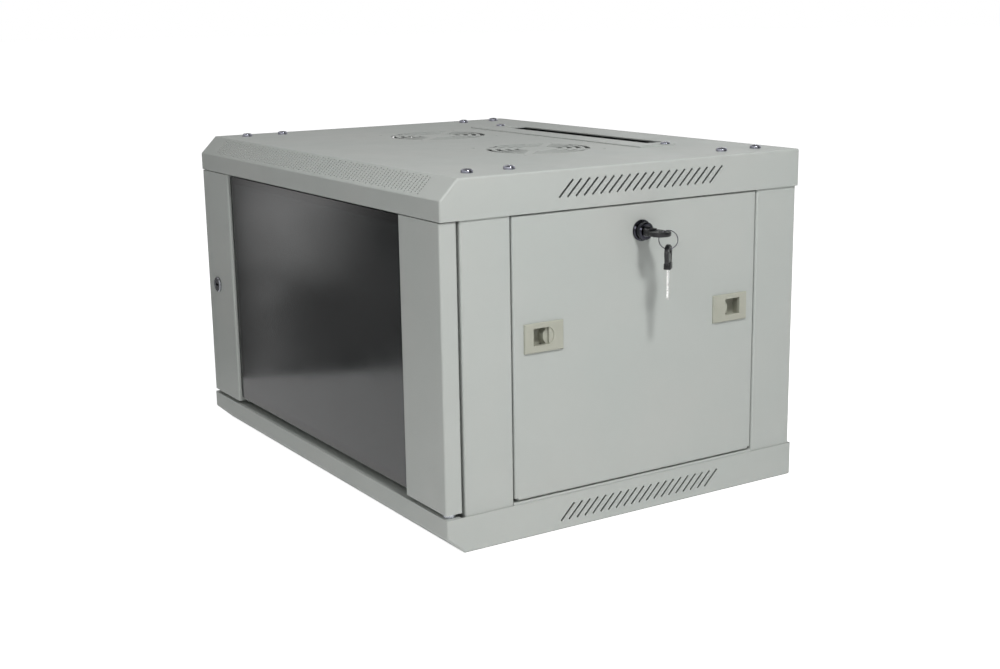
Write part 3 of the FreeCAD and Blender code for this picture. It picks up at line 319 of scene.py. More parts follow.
# %% Sizes of the strip
CHAMFER = 20.0 * MM           # run and rise of the roof's sloped edge
SHEET = 1.2 * MM
HOLE_RADIUS = 1.2 * MM
HOLE_PITCH = 6.7 * MM         # between holes of one row
ROW_PITCH = 2.75 * MM
ROWS = 8
STRIP_END = 42.0 * MM         # plain sheet beyond each end of the strip
HOLE_SIDES = 10

roof_low, roof_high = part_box("roof")
strip_room = roof_high.x - roof_low.x - 2 * STRIP_END
COLUMNS = int(strip_room / HOLE_PITCH)
strip_length = COLUMNS * HOLE_PITCH
strip_rise = (ROWS + 0.5) * ROW_PITCH
print("strip:", COLUMNS, "x", ROWS, "holes,", round(strip_length / MM), "mm long")


# %% [markdown]
# ## One cell of the strip
# A single tile of sheet holds one round hole. It could be a flat square with a disc cut out by a
# boolean, but then its rim would meet its neighbours at odd points. Here rays from the hole's centre
# reach the tile's edge, so tiles side by side share their points and can be joined without gaps.

# %% One cell of the strip
JOIN_LIMIT = 1e-6             # points closer than this are one point
NEAR_ZERO = 1e-9              # keeps a ray along an axis from dividing by nothing


def mesh_object(name, mesh, in_scene=True):
    """Object made from a bmesh."""
    data = bpy.data.meshes.new(name)
    mesh.to_mesh(data)
    mesh.free()
    thing = bpy.data.objects.new(name, data)
    if in_scene:
        bpy.context.scene.collection.objects.link(thing)
    return thing


def on_short_side(corner):
    """True where a point of the tile's edge lies on one of the sides across the row."""
    return abs(abs(corner.x) - HOLE_PITCH / 2) < JOIN_LIMIT / 10


def sheet_cell():
    """A tile of sheet around one hole: both faces and the hole's wall, centred on the hole."""
    mesh = bmesh.new()
    layers = []
    for depth in (0.0, -SHEET):
        outer = []
        inner = []
        for step in range(HOLE_SIDES):
            angle = 2 * math.pi * (step + 0.5) / HOLE_SIDES
            way = Vector((math.cos(angle), math.sin(angle)))
            inner.append(mesh.verts.new((way.x * HOLE_RADIUS, way.y * HOLE_RADIUS, depth)))
            stretch = min(HOLE_PITCH / 2 / max(abs(way.x), NEAR_ZERO),
                          ROW_PITCH / 2 / max(abs(way.y), NEAR_ZERO))
            outer.append(mesh.verts.new((way.x * stretch, way.y * stretch, depth)))
        layers.append((outer, inner))
    corners = {}
    for level, depth in enumerate((0.0, -SHEET)):
        for sx in (-1, 1):
            for sy in (-1, 1):
                corners[level, sx, sy] = mesh.verts.new((sx * HOLE_PITCH / 2, sy * ROW_PITCH / 2, depth))
    for level, (outer, inner) in enumerate(layers):
        for step in range(HOLE_SIDES):
            after = (step + 1) % HOLE_SIDES
            rim = [inner[step], inner[after], outer[after], outer[step]]
            first, second = outer[step].co, outer[after].co
            if on_short_side(first) != on_short_side(second):
                middle = (first + second) / 2
                corner = corners[level, int(math.copysign(1, middle.x)), int(math.copysign(1, middle.y))]
                rim = [inner[step], inner[after], outer[after], corner, outer[step]]
            mesh.faces.new(rim if level == 0 else rim[::-1])
    for step in range(HOLE_SIDES):
        after = (step + 1) % HOLE_SIDES
        top, low = layers[0][1], layers[1][1]
        mesh.faces.new([top[step], low[step], low[after], top[after]])
    bmesh.ops.delete(mesh, geom=[v for v in mesh.verts if not v.link_faces], context="VERTS")
    bmesh.ops.recalc_face_normals(mesh, faces=mesh.faces)
    if max(mesh.faces, key=lambda face: face.calc_center_median().z).normal.z < 0:
        bmesh.ops.reverse_faces(mesh, faces=mesh.faces)
    return mesh_object("strip_cell", mesh, in_scene=False)


cell = sheet_cell()
print("faces of one cell:", len(cell.data.polygons))


# %% [markdown]
# ## Repeating a shape
# The strip's holes and the cabinet's screws are both one shape set down many times. A Python loop
# could copy the mesh, but a node tree keeps the recipe readable: its numbers come in by name, it is
# run once on a start mesh, and the plain mesh that comes out is kept without its modifier.

# %% A node tree that repeats a shape
def repeat_tree(name, sockets):
    """A geometry node group with an input geometry, named inputs and an output geometry."""
    tree = bpy.data.node_groups.new(name, "GeometryNodeTree")
    tree.interface.new_socket("Geometry", in_out="INPUT", socket_type="NodeSocketGeometry")
    for label, kind in sockets:
        tree.interface.new_socket(label, in_out="INPUT", socket_type=kind)
    tree.interface.new_socket("Geometry", in_out="OUTPUT", socket_type="NodeSocketGeometry")
    return tree, add_node(tree, "NodeGroupInput"), add_node(tree, "NodeGroupOutput")


def finish_tree(tree, given, result, instances):
    """Ends a tree: real geometry from its instances, in the finish that was given."""
    real = add_node(tree, "GeometryNodeRealizeInstances", {"Geometry": instances})
    painted = add_node(tree, "GeometryNodeSetMaterial", {
        "Geometry": real.outputs["Geometry"], "Material": given.outputs["Finish"]})
    tree.links.new(painted.outputs["Geometry"], result.inputs["Geometry"])
    return tree


def bake(thing, modifier):
    """Puts a modifier's result into the object's mesh and takes the modifier away."""
    evaluated = thing.evaluated_get(bpy.context.evaluated_depsgraph_get())
    mesh = bpy.data.meshes.new_from_object(evaluated)
    thing.modifiers.remove(modifier)
    thing.data = mesh


def grow(name, tree, values, start_mesh):
    """Runs a node tree on a mesh with the given input values and returns the plain result."""
    carrier = bpy.data.objects.new(name, start_mesh)
    bpy.context.scene.collection.objects.link(carrier)
    modifier = carrier.modifiers.new("repeat", "NODES")
    modifier.node_group = tree
    for item in tree.interface.items_tree:
        if item.in_out == "INPUT" and item.name in values:
            modifier[item.identifier] = values[item.name]
    bake(carrier, modifier)
    carrier.data.name = name
    return carrier


print("a mesh can be repeated by a node tree")

# %% [markdown]
# ## Staggered rows
# A punch tool makes its holes in rows, with every other column set half a row along, so that the
# sheet between them stays strong. A grid gives a point for each hole. The column's number, worked
# out from the point's place, decides whether it moves up or down by a quarter of a row.

# %% Staggered rows by Geometry Nodes
def strip_tree():
    """Sets the cell on a grid whose columns are shifted by turns."""
    tree, given, result = repeat_tree("staggered_holes", (
        ("Columns", "NodeSocketInt"), ("Rows", "NodeSocketInt"), ("Hole Pitch", "NodeSocketFloat"),
        ("Row Pitch", "NodeSocketFloat"), ("Cell", "NodeSocketObject"), ("Finish", "NodeSocketMaterial")))

    hole_pitch = given.outputs["Hole Pitch"]
    row_pitch = given.outputs["Row Pitch"]
    last_column = add_node(tree, "ShaderNodeMath", {0: given.outputs["Columns"], 1: 1.0},
                           operation="SUBTRACT").outputs[0]
    last_row = add_node(tree, "ShaderNodeMath", {0: given.outputs["Rows"], 1: 1.0},
                        operation="SUBTRACT").outputs[0]
    width = add_node(tree, "ShaderNodeMath", {0: last_column, 1: hole_pitch}, operation="MULTIPLY")
    depth = add_node(tree, "ShaderNodeMath", {0: last_row, 1: row_pitch}, operation="MULTIPLY")
    grid = add_node(tree, "GeometryNodeMeshGrid", {
        "Size X": width.outputs[0], "Size Y": depth.outputs[0],
        "Vertices X": given.outputs["Columns"], "Vertices Y": given.outputs["Rows"]})
    # The column's number comes from its place, and neighbours end up half a row apart.
    place = add_node(tree, "GeometryNodeInputPosition").outputs[0]
    x_place = add_node(tree, "ShaderNodeSeparateXYZ", {0: place}).outputs["X"]
    steps = add_node(tree, "ShaderNodeMath", {0: x_place, 1: hole_pitch}, operation="DIVIDE")
    counted = add_node(tree, "ShaderNodeMath", {0: last_column, 1: 0.5, 2: steps.outputs[0]},
                       operation="MULTIPLY_ADD")
    column = add_node(tree, "ShaderNodeMath", {0: counted.outputs[0]}, operation="ROUND")
    odd = add_node(tree, "ShaderNodeMath", {0: column.outputs[0], 1: 2.0}, operation="MODULO")
    quarter = add_node(tree, "ShaderNodeMath", {0: odd.outputs[0], 1: 0.5, 2: -0.25},
                       operation="MULTIPLY_ADD")
    shift = add_node(tree, "ShaderNodeMath", {0: quarter.outputs[0], 1: row_pitch}, operation="MULTIPLY")
    offset = add_node(tree, "ShaderNodeCombineXYZ", {"Y": shift.outputs[0]}).outputs[0]
    moved = add_node(tree, "GeometryNodeSetPosition", {"Geometry": grid.outputs["Mesh"], "Offset": offset})
    shape = add_node(tree, "GeometryNodeObjectInfo", {"Object": given.outputs["Cell"]})
    placed = add_node(tree, "GeometryNodeInstanceOnPoints", {
        "Points": moved.outputs["Geometry"], "Instance": shape.outputs["Geometry"]})
    return finish_tree(tree, given, result, placed.outputs["Instances"])


strip = grow("roof_strip", strip_tree(), {
    "Columns": COLUMNS, "Rows": ROWS, "Hole Pitch": HOLE_PITCH, "Row Pitch": ROW_PITCH, "Cell": cell,
    "Finish": palette["grey_powder_coat"]}, bpy.data.meshes.new("strip_start"))
print("strip faces:", len(strip.data.polygons))


# %% [markdown]
# ## The strip in the roof
# On the real cover the holes are punched before the sheet is folded, so strip and roof are one
# piece. The plain sheet is cut out of both faces along the strip's edges, the tiles take its place,
# and points that meet are joined. Weighted normals keep the flat faces flat beside the folds.

# %% Join the strip to the roof
SLOPE_FACE_LIMIT = 1e-4       # how far a face's normal may be from the slope's
FOLD_ANGLE = 35.0             # degrees; edges sharper than this stay crisp


def slope_frame():
    """Matrix from the strip's own axes (length, slope, outward) to the roof's sloped edge."""
    along = Vector((1, 0, 0))
    rise = Vector((0, math.sqrt(0.5), math.sqrt(0.5)))
    outward = along.cross(rise)
    middle = Vector((0, roof_low.y + CHAMFER / 2, roof_high.z - CHAMFER / 2))
    return Matrix.Translation(middle) @ Matrix((along, rise, outward)).transposed().to_4x4()


def open_slope(mesh, slope):
    """Takes the plain sheet under the strip out of both faces of the roof's sloped edge."""
    inverse = slope.inverted()
    flat = slope.to_quaternion() @ Vector((0, 0, 1))
    sloped = [f for f in mesh.faces if abs(abs(f.normal.dot(flat)) - 1) < SLOPE_FACE_LIMIT
              and abs((inverse @ f.calc_center_median()).z) < 2 * SHEET]
    for centre, way in (((-strip_length / 2, 0, 0), (1, 0, 0)), ((strip_length / 2, 0, 0), (1, 0, 0)),
                        ((0, -strip_rise / 2, 0), (0, 1, 0)), ((0, strip_rise / 2, 0), (0, 1, 0))):
        geometry = set(sloped)
        for face in sloped:
            geometry.update(face.edges)
            geometry.update(face.verts)
        result = bmesh.ops.bisect_plane(mesh, geom=list(geometry), dist=JOIN_LIMIT / 10,
                                        plane_co=slope @ Vector(centre),
                                        plane_no=slope.to_quaternion() @ Vector(way))
        sloped = [g for g in result["geom"] if isinstance(g, bmesh.types.BMFace)]
    inside = []
    for face in sloped:
        spot = inverse @ face.calc_center_median()
        if abs(spot.x) < strip_length / 2 and abs(spot.y) < strip_rise / 2:
            inside.append(face)
    bmesh.ops.delete(mesh, geom=inside, context="FACES")
    return len(inside)


def column_ends(mesh, slope):
    """Closes the half cells that the stagger leaves at the ends of the columns."""
    half = ROW_PITCH / 2
    for column in range(COLUMNS):
        start = -strip_length / 2 + column * HOLE_PITCH
        low = -strip_rise / 2 if column % 2 else strip_rise / 2 - half
        for depth in (0.0, -SHEET):
            corners = [Vector((start, low, depth)), Vector((start + HOLE_PITCH, low, depth)),
                       Vector((start + HOLE_PITCH, low + half, depth)), Vector((start, low + half, depth))]
            verts = [mesh.verts.new(slope @ corner) for corner in corners]
            mesh.faces.new(verts if depth == 0.0 else verts[::-1])


def shade_by_angle(mesh, degrees):
    """Smooth shading, with the edges over an angle kept sharp."""
    mesh.polygons.foreach_set("use_smooth", [True] * len(mesh.polygons))
    mesh.set_sharp_from_angle(angle=math.radians(degrees))


def soften(thing):
    """Smooth shading over the folds with weighted normals, so that flat faces stay flat."""
    shade_by_angle(thing.data, FOLD_ANGLE)
    weights = thing.modifiers.new("weights", "WEIGHTED_NORMAL")
    weights.keep_sharp = True
    bake(thing, weights)


slope = slope_frame()
roof_mesh = bmesh.new()
roof_mesh.from_mesh(frame["nodes"]["roof"].data)
bmesh.ops.remove_doubles(roof_mesh, verts=roof_mesh.verts, dist=JOIN_LIMIT)
removed = open_slope(roof_mesh, slope)
column_ends(roof_mesh, slope)
strip.data.transform(slope)
roof_mesh.from_mesh(strip.data)
bmesh.ops.remove_doubles(roof_mesh, verts=roof_mesh.verts, dist=JOIN_LIMIT)
roof = mesh_object("perforated_roof", roof_mesh)
bpy.data.objects.remove(strip)
dress(roof, palette["grey_powder_coat"])
soften(roof)
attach(roof, "cabinet")
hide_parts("roof")
print("sheet faces taken out:", removed, "roof faces:", len(roof.data.polygons))

# %% [markdown]
# ## Screws with cross recesses
# The covers are held by pan-head screws with a cross recess. The recess could be a texture, but it
# catches the light as a small star, so it is cut into one screw with a boolean. Geometry Nodes then
# set that screw on every hole and turn each by its own amount, as screws end up when they are
# driven tight.

# %% One screw
WALL_SHARE = 0.5              # share of a head's height that is upright, under its dome
DOME_POWER = 0.6              # below 1 the dome stays full and then falls off fast
DOME_ANGLES = (0.0, 0.3, 0.6, 0.9, 1.15, 1.35)
HEAD_SIDES = 24
RECESS_REACH = 0.55           # of the head's radius
RECESS_DEPTH = 0.45           # of the head's height
RECESS_WIDTH = 0.2            # of the recess's reach
RECESS_TAPER = 0.3            # reach at the bottom against the top
TIP_TAPER = 0.8               # the shank's end against the shank
TIP_RISE = 0.3                # of the shank's radius
HEAD_EDGE_ANGLE = 40


def band(mesh, first, second):
    """Faces between two rings of as many points."""
    for k in range(len(first)):
        n = (k + 1) % len(first)
        mesh.faces.new([first[k], first[n], second[n], second[k]])


def lathe(mesh, profile, sides):
    """Turns a profile of (radius, height) about Z; a radius of 0 closes the end."""
    rings = []
    for radius, height in profile:
        if radius == 0:
            rings.append([mesh.verts.new((0, 0, height))])
            continue
        rings.append([mesh.verts.new((radius * math.cos(2 * math.pi * k / sides),
                                      radius * math.sin(2 * math.pi * k / sides), height))
                      for k in range(sides)])
    for low, high in zip(rings, rings[1:]):
        if len(low) == len(high):
            band(mesh, low, high)
            continue
        for k in range(sides):
            n = (k + 1) % sides
            mesh.faces.new([low[0], high[n], high[k]] if len(low) == 1 else [low[k], low[n], high[0]])
    bmesh.ops.recalc_face_normals(mesh, faces=mesh.faces)


def cross_cutter(reach, depth, top):
    """Two tapered wedges, crossed."""
    mesh = bmesh.new()
    for turned in (0, 90):
        spin = Matrix.Rotation(math.radians(turned), 3, "Z")
        thin = reach * RECESS_WIDTH
        corners = []
        for share, height in ((1.0, top + depth), (RECESS_TAPER, top - depth)):
            for sx, sy in ((-1, -1), (1, -1), (1, 1), (-1, 1)):
                corners.append(mesh.verts.new(spin @ Vector((sx * reach * share, sy * thin, height))))
        for face in ((0, 1, 2, 3), (7, 6, 5, 4), (0, 4, 5, 1), (1, 5, 6, 2), (2, 6, 7, 3), (3, 7, 4, 0)):
            mesh.faces.new([corners[i] for i in face])
    bmesh.ops.recalc_face_normals(mesh, faces=mesh.faces)
    return mesh_object("cross_cutter", mesh)


def pan_screw(head_radius, head_height, shank_radius, shank_length):
    """Screw along Z with its seat at 0 and a domed head above it."""
    mesh = bmesh.new()
    dome = [(head_radius * math.cos(angle) ** DOME_POWER,
             head_height * (WALL_SHARE + (1 - WALL_SHARE) * math.sin(angle))) for angle in DOME_ANGLES]
    profile = [(0, -shank_length), (shank_radius * TIP_TAPER, -shank_length),
               (shank_radius, -shank_length + shank_radius * TIP_RISE), (shank_radius, 0),
               (head_radius, 0)]
    lathe(mesh, profile + dome + [(0, head_height)], HEAD_SIDES)
    screw = mesh_object("screw", mesh)
    cutter = cross_cutter(head_radius * RECESS_REACH, head_height * RECESS_DEPTH, head_height)
    boolean = screw.modifiers.new("recess", "BOOLEAN")
    boolean.operation = "DIFFERENCE"
    boolean.solver = "EXACT"
    boolean.use_self = True
    boolean.object = cutter
    bake(screw, boolean)
    bpy.data.objects.remove(cutter)
    shade_by_angle(screw.data, HEAD_EDGE_ANGLE)
    bpy.context.scene.collection.objects.unlink(screw)
    return screw


print("a head is upright for", WALL_SHARE, "of its height, and domed above that")

# %% [markdown]
# ## A screw on every hole
# The CAD has each group of screws as plain solids at their real places. Places, head radius and
# length are measured there, so that the dressed screws stay inside the plain ones. Only the head's
# height is given. A random turn for each keeps the recesses from lining up, and its seed is fixed.

# %% A screw on every hole
HEAD_HEIGHTS = {"roof_bolts": 4.0 * MM, "roof_entry_screws": 2.4 * MM, "base_entry_screws": 2.4 * MM,
                "rear_screws": 2.2 * MM}
SHANK_SHARE = 0.5             # the shank's radius against the head's


def screw_tree():
    """Sets a screw on every point, tilted to its wall and turned at random about its own axis."""
    tree, given, result = repeat_tree("screws_on_points", (
        ("Screw", "NodeSocketObject"), ("Tilt", "NodeSocketVector"), ("Seed", "NodeSocketInt"),
        ("Finish", "NodeSocketMaterial")))
    shape = add_node(tree, "GeometryNodeObjectInfo", {"Object": given.outputs["Screw"]})
    spin = add_node(tree, "FunctionNodeRandomValue", {2: 0.0, 3: 2 * math.pi,
                                                      "Seed": given.outputs["Seed"]}, data_type="FLOAT")
    placed = add_node(tree, "GeometryNodeInstanceOnPoints", {
        "Points": given.outputs["Geometry"], "Instance": shape.outputs["Geometry"]})
    tilted = add_node(tree, "GeometryNodeRotateInstances", {
        "Instances": placed.outputs["Instances"], "Rotation": given.outputs["Tilt"]})
    turn = add_node(tree, "ShaderNodeCombineXYZ", {"Z": spin.outputs[1]})
    turned = add_node(tree, "GeometryNodeRotateInstances", {
        "Instances": tilted.outputs["Instances"], "Rotation": turn.outputs[0]})
    return finish_tree(tree, given, result, turned.outputs["Instances"])


def islands(node):
    """Lowest and highest corner of each separate solid of a CAD part, found by joined vertices."""
    mesh = bmesh.new()
    mesh.from_mesh(frame["nodes"][node].data)
    bmesh.ops.remove_doubles(mesh, verts=mesh.verts, dist=JOIN_LIMIT)
    left = set(mesh.verts)
    boxes = []
    while left:
        stack = [left.pop()]
        found = []
        while stack:
            vert = stack.pop()
            found.append(vert.co.copy())
            for edge in vert.link_edges:
                other = edge.other_vert(vert)
                if other in left:
                    left.remove(other)
                    stack.append(other)
        boxes.append(tuple(Vector(pick(c[i] for c in found) for i in range(3)) for pick in (min, max)))
    mesh.free()
    return sorted(boxes, key=lambda box: tuple(round(v, 4) for v in box[0]))


def screws_on(node, way, seed):
    """Replaces a part made of plain screws with recessed ones of the same size and place."""
    axis = max(range(3), key=lambda i: abs(way[i]))
    side_axis = (axis + 1) % 3
    boxes = islands(node)
    low, high = boxes[0]
    head_radius = (high[side_axis] - low[side_axis]) / 2
    length = high[axis] - low[axis]
    head_height = HEAD_HEIGHTS[node]
    shank = length - head_height
    screw = pan_screw(head_radius, head_height, head_radius * SHANK_SHARE, shank)
    points = []
    for low, high in boxes:
        seat = (low + high) / 2
        seat[axis] = high[axis] - head_height if way[axis] > 0 else low[axis] + head_height
        points.append(seat)
    start = bpy.data.meshes.new(node + "_points")
    start.from_pydata(points, [], [])
    tilt = Vector((0, 0, 1)).rotation_difference(Vector(way)).to_euler()
    # The screws take the zinc whose darker tone is painted shade.
    made = grow(node + "_recessed", screw_tree(), {
        "Screw": screw, "Tilt": tuple(tilt), "Seed": seed, "Finish": palette["screw_zinc"]}, start)
    bpy.data.objects.remove(screw)
    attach(made, "cabinet")
    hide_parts(node)
    return len(points)


for seed, (node, way) in enumerate((("roof_bolts", (0, 0, 1)), ("roof_entry_screws", (0, 0, 1)),
                                    ("base_entry_screws", (0, 0, 1)), ("rear_screws", (0, 1, 0)))):
    print(node, "screws:", screws_on(node, way, seed))

# %% [markdown]
# ## Keys
# Each key is a nickel-plated blade in a black moulded bow. The bow has a raised rim, a sunk panel
# on each side and a hole for the ring. A cylinder with a hole would do from afar, but the rim is
# what catches the light, so the bow is lofted: its outline is followed by rays from the hole's
# centre, and rings of points at set distances from the outline and from the hole give its section.

# %% Sizes of a key
BOW_RADIUS = 11.0
BOW_LENGTH = 23.0
BOW_HALF = 2.25                             # half the thickness over the rim
COLLAR_LENGTH = 8.0
COLLAR_WIDTH = 12.0
COLLAR_HEIGHT = 7.4
COLLAR_CORNER = 1.0
NECK_HALF = 9.0
NECK_OVERLAP = 2.0                          # the neck starts this far inside the collar
NECK_CORNER = 3.0
HOLE_FROM_TIP = 8.2
EYE_RADIUS = 3.5
BLADE_HALF = 4.2
TIP = COLLAR_LENGTH + BOW_LENGTH            # from the shoulder, along the key
BOW_CENTRE = TIP - BOW_RADIUS
EYE = TIP - HOLE_FROM_TIP
BLADE_LENGTH = (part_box("key")[1].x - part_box("key")[0].x) / MM - TIP
print("key length", round(TIP + BLADE_LENGTH, 1), "mm, blade", round(BLADE_LENGTH, 1), "mm")


# %% [markdown]
# ## The bow
# The bow is moulded round the blade: a disc with a wide neck, thickest at its rim and round its
# hole. The section lists how far each ring of points lies from the hole or from the rim, and how
# high. A ray finds the outline by short steps, so the outline needs no formula of its own.

# %% The bow
RAY_STEP = 0.05
RAY_STEPS = 600
SPOKES = 72


def in_bow(x, y):
    """True inside the bow's outline: a disc with a round-cornered neck."""
    if math.hypot(x - BOW_CENTRE, y) <= BOW_RADIUS:
        return True
    start = COLLAR_LENGTH - NECK_OVERLAP
    if not start <= x <= BOW_CENTRE or abs(y) > NECK_HALF:
        return False
    if x < start + NECK_CORNER and abs(y) > NECK_HALF - NECK_CORNER:
        return math.hypot(x - start - NECK_CORNER, abs(y) - NECK_HALF + NECK_CORNER) <= NECK_CORNER
    return True


def bow_reach(angle):
    """Distance from the hole's centre to the bow's outline at an angle."""
    reach = 0.0
    for step in range(RAY_STEPS):
        far = step * RAY_STEP
        if in_bow(EYE + far * math.cos(angle), far * math.sin(angle)):
            reach = far
    return reach


BOW_SECTION = (("eye", 0.0, 1.7), ("eye", 0.25, 2.1), ("eye", 0.6, BOW_HALF), ("eye", 1.0, BOW_HALF),
               ("rim", 1.75, BOW_HALF - 0.55), ("rim", 1.45, BOW_HALF), ("rim", 0.7, BOW_HALF),
               ("rim", 0.2, 1.9), ("rim", 0.0, 1.3))


def add_bow(mesh):
    """Lofts the bow's section round the hole."""
    rings = []
    section = list(BOW_SECTION) + [(start, away, -height) for start, away, height in reversed(BOW_SECTION)]
    reaches = [bow_reach(2 * math.pi * k / SPOKES) for k in range(SPOKES)]
    for start, away, height in section:
        ring = []
        for k, reach in enumerate(reaches):
            angle = 2 * math.pi * k / SPOKES
            far = EYE_RADIUS + away if start == "eye" else reach - away
            ring.append(mesh.verts.new((EYE + far * math.cos(angle), far * math.sin(angle), height)))
        rings.append(ring)
    for first, second in zip(rings, rings[1:] + rings[:1]):
        band(mesh, first, second)


print("the bow reaches", round(bow_reach(0.0), 1), "mm from its hole to its tip")

# %% [markdown]
# ## The collar and the blade
# The collar has two shallow grooves each side, which stop the moulding from slipping on the steel.
# The blade is a flat blank with a milled groove along each face and cuts along both edges. Both are
# swept: a list of stations along the key says how wide the section is there. A bitted outline
# pushed up into a solid would be quicker, but it has no groove for the light to run along.

# %% The collar and the blade
COLLAR_PROFILE = ((0.0, 0.8), (0.8, 0.0), (2.6, 0.0), (3.0, 0.35), (3.6, 0.35), (4.0, 0.0), (5.0, 0.0),
                  (5.4, 0.35), (6.0, 0.35), (6.4, 0.0), (7.2, 0.0), (8.0, 0.8))    # place, inset
CORNER_SHARE = 0.3            # where a corner's middle point lies, of its radius
BLADE_CUTS = (0.0, 0.6, 0.0, 1.0, 0.3, 0.8, 0.0)
FIRST_CUT = 5.0               # from the shoulder
CUT_PITCH = 2.6
CUT_FLAT = (0.5, 1.4)         # where a cut's flat begins and ends, from the cut's own place
BLADE_ROOT = 2.0              # the blade starts this far inside the moulding
PLAIN_BLADE = 3.0             # uncut beyond the shoulder
POINT_LENGTH = 2.4
POINT_HALF = 1.4
POINT_STEP = 0.2              # the blade is this much slimmer where its point begins
BLADE_FACE = 1.0              # half the blade's thickness
EDGE_HALF = 0.6               # half the thickness at its bevelled edges
EDGE_BEVEL = 0.3
GROOVE_HALF = 1.3
GROOVE_MARGIN = 0.5           # least metal beside the groove
GROOVE_SLOPE = 0.4
GROOVE_FLOOR = 0.5            # half the thickness in the groove
BLADE_EDGE_ANGLE = 25.0


def skin(mesh, rings):
    """Joins rings of points into a closed tube with flat ends."""
    for first, second in zip(rings, rings[1:]):
        band(mesh, first, second)
    mesh.faces.new(rings[0][::-1])
    mesh.faces.new(rings[-1])


def add_collar(mesh):
    """Rounded block between the bow and the blade, with two shallow grip grooves each side."""
    rings = []
    corner = COLLAR_CORNER
    bevel = CORNER_SHARE * corner
    for x, inset in COLLAR_PROFILE:
        side = COLLAR_WIDTH / 2 - inset
        top = COLLAR_HEIGHT / 2 - inset
        quarter = [(side, top - corner), (side - bevel, top - bevel), (side - corner, top)]
        upper = quarter + [(-y, z) for y, z in reversed(quarter)]
        corners = upper + [(y, -z) for y, z in reversed(upper)]
        rings.append([mesh.verts.new((x, y, z)) for y, z in corners])
    skin(mesh, rings)


def add_blade(mesh, shoulder):
    """Blade with a groove along each side, cuts along both edges and a pointed end."""
    stations = [(shoulder + BLADE_ROOT, BLADE_HALF), (-PLAIN_BLADE, BLADE_HALF)]
    for step, cut in enumerate(BLADE_CUTS):
        x = -FIRST_CUT - step * CUT_PITCH
        stations += [(x - along, BLADE_HALF - cut) for along in CUT_FLAT]
    stations += [(POINT_LENGTH - BLADE_LENGTH, BLADE_HALF - POINT_STEP), (-BLADE_LENGTH, POINT_HALF)]
    rings = []
    for x, edge in stations:
        groove = min(GROOVE_HALF, edge - GROOVE_MARGIN)
        quarter = [(edge, EDGE_HALF), (edge - EDGE_BEVEL, BLADE_FACE), (groove, BLADE_FACE),
                   (groove - GROOVE_SLOPE, GROOVE_FLOOR)]
        upper = quarter + [(-y, z) for y, z in reversed(quarter)]
        section = upper + [(y, -z) for y, z in reversed(upper)]
        rings.append([mesh.verts.new((x, y, z)) for y, z in section])
    skin(mesh, rings)


print("the blade has", len(BLADE_CUTS), "cuts along each edge")

# %% [markdown]
# ## Keys in their places
# One key stands in the right-hand side lock and the other hangs from the ring. Both are built in
# their own millimetres, along the X axis, and a matrix takes them to where the CAD has them. The
# hanging one has a shorter moulding, so its blade starts further up.

# %% Put both keys in place
def finished(name, builder, material, place, angle=FOLD_ANGLE):
    """Object built by a function in key millimetres, put in its place in metres."""
    mesh = bmesh.new()
    builder(mesh)
    bmesh.ops.recalc_face_normals(mesh, faces=mesh.faces)
    thing = mesh_object(name, mesh)
    thing.data.transform(place @ Matrix.Scale(MM, 4))
    shade_by_angle(thing.data, angle)
    dress(thing, material)
    return thing


def moulding(mesh):
    """Bow and collar in one."""
    add_bow(mesh)
    add_collar(mesh)


def both_pieces(name, node, body, place, share=1.0, drop=0.0):
    """A key's moulding, as long as its share says, and its blade, in place of its CAD part."""
    shoulder = TIP * (1 - share) - drop
    shortened = place @ Matrix.Translation((shoulder * MM, 0, 0)) @ Matrix.Diagonal((share, 1, 1, 1))
    grip = finished(name + "_moulding", moulding, palette["key_plastic"], shortened)
    steel = finished(name + "_blade", lambda mesh: add_blade(mesh, shoulder), palette["key_blade"],
                     place, BLADE_EDGE_ANGLE)
    for thing in (grip, steel):
        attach(thing, body)
        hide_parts(node)


low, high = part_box("key")
middle = (low + high) / 2
inserted = Matrix.Translation((high.x - TIP * MM, middle.y, middle.z))
both_pieces("key_in_lock", "key", "right_barrel", inserted)

low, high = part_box("spare_key")
middle = (low + high) / 2
KEY_TURN = math.radians(41.0)     # the key hangs a little askew on its ring
SPARE_SHARE = 0.80                # the spare's moulding is shorter than the other's
SPARE_DROP = 0.94                 # and hangs this much lower, so its hole meets the ring
hanging = (Matrix.Translation((middle.x, middle.y, high.z)) @ Matrix.Rotation(KEY_TURN, 4, "Z")
           @ Matrix.Rotation(math.radians(-90), 4, "Y") @ Matrix.Translation((-TIP * MM, 0, 0)))
both_pieces("key_on_ring", "spare_key", "hanging_key", hanging, SPARE_SHARE, SPARE_DROP)
print("keys placed; the spare key's top is at z", round(high.z, 4))

# %% [markdown]
# ## Split ring
# The ring is spring wire wound twice, with its ends tucked side by side. A torus would be the quick
# way, but the seam between the two turns is what makes it a key ring, so a small section is swept
# along a flat helix of nearly two turns.

# %% Wind the ring
RING_TURN = math.radians(48.0)    # the ring's plane, from the X axis
CAD_WIRE = 0.75                   # radius of the CAD ring's section
WIRE = 0.55                       # radius of one turn's wire
WIRE_FLATTENING = 0.5             # two flattened turns lie inside the CAD ring's width
RING_TURNS = 1.94
RING_STEPS = 150
WIRE_SIDES = 8


def add_split_ring(mesh, radius, wire):
    """Sweeps a flattened section along two touching turns, in the XZ plane."""
    rings = []
    for step in range(RING_STEPS + 1):
        angle = 2 * math.pi * RING_TURNS * step / RING_STEPS
        side = (step / RING_STEPS - 0.5) * wire
        outward = Vector((math.cos(angle), 0, math.sin(angle)))
        centre = outward * radius + Vector((0, side, 0))
        section = []
        for k in range(WIRE_SIDES):
            turn_angle = 2 * math.pi / WIRE_SIDES * (k + 0.5)
            section.append(centre + outward * (wire * math.cos(turn_angle))
                           + Vector((0, wire * WIRE_FLATTENING * math.sin(turn_angle), 0)))
        rings.append([mesh.verts.new(point) for point in section])
    skin(mesh, rings)


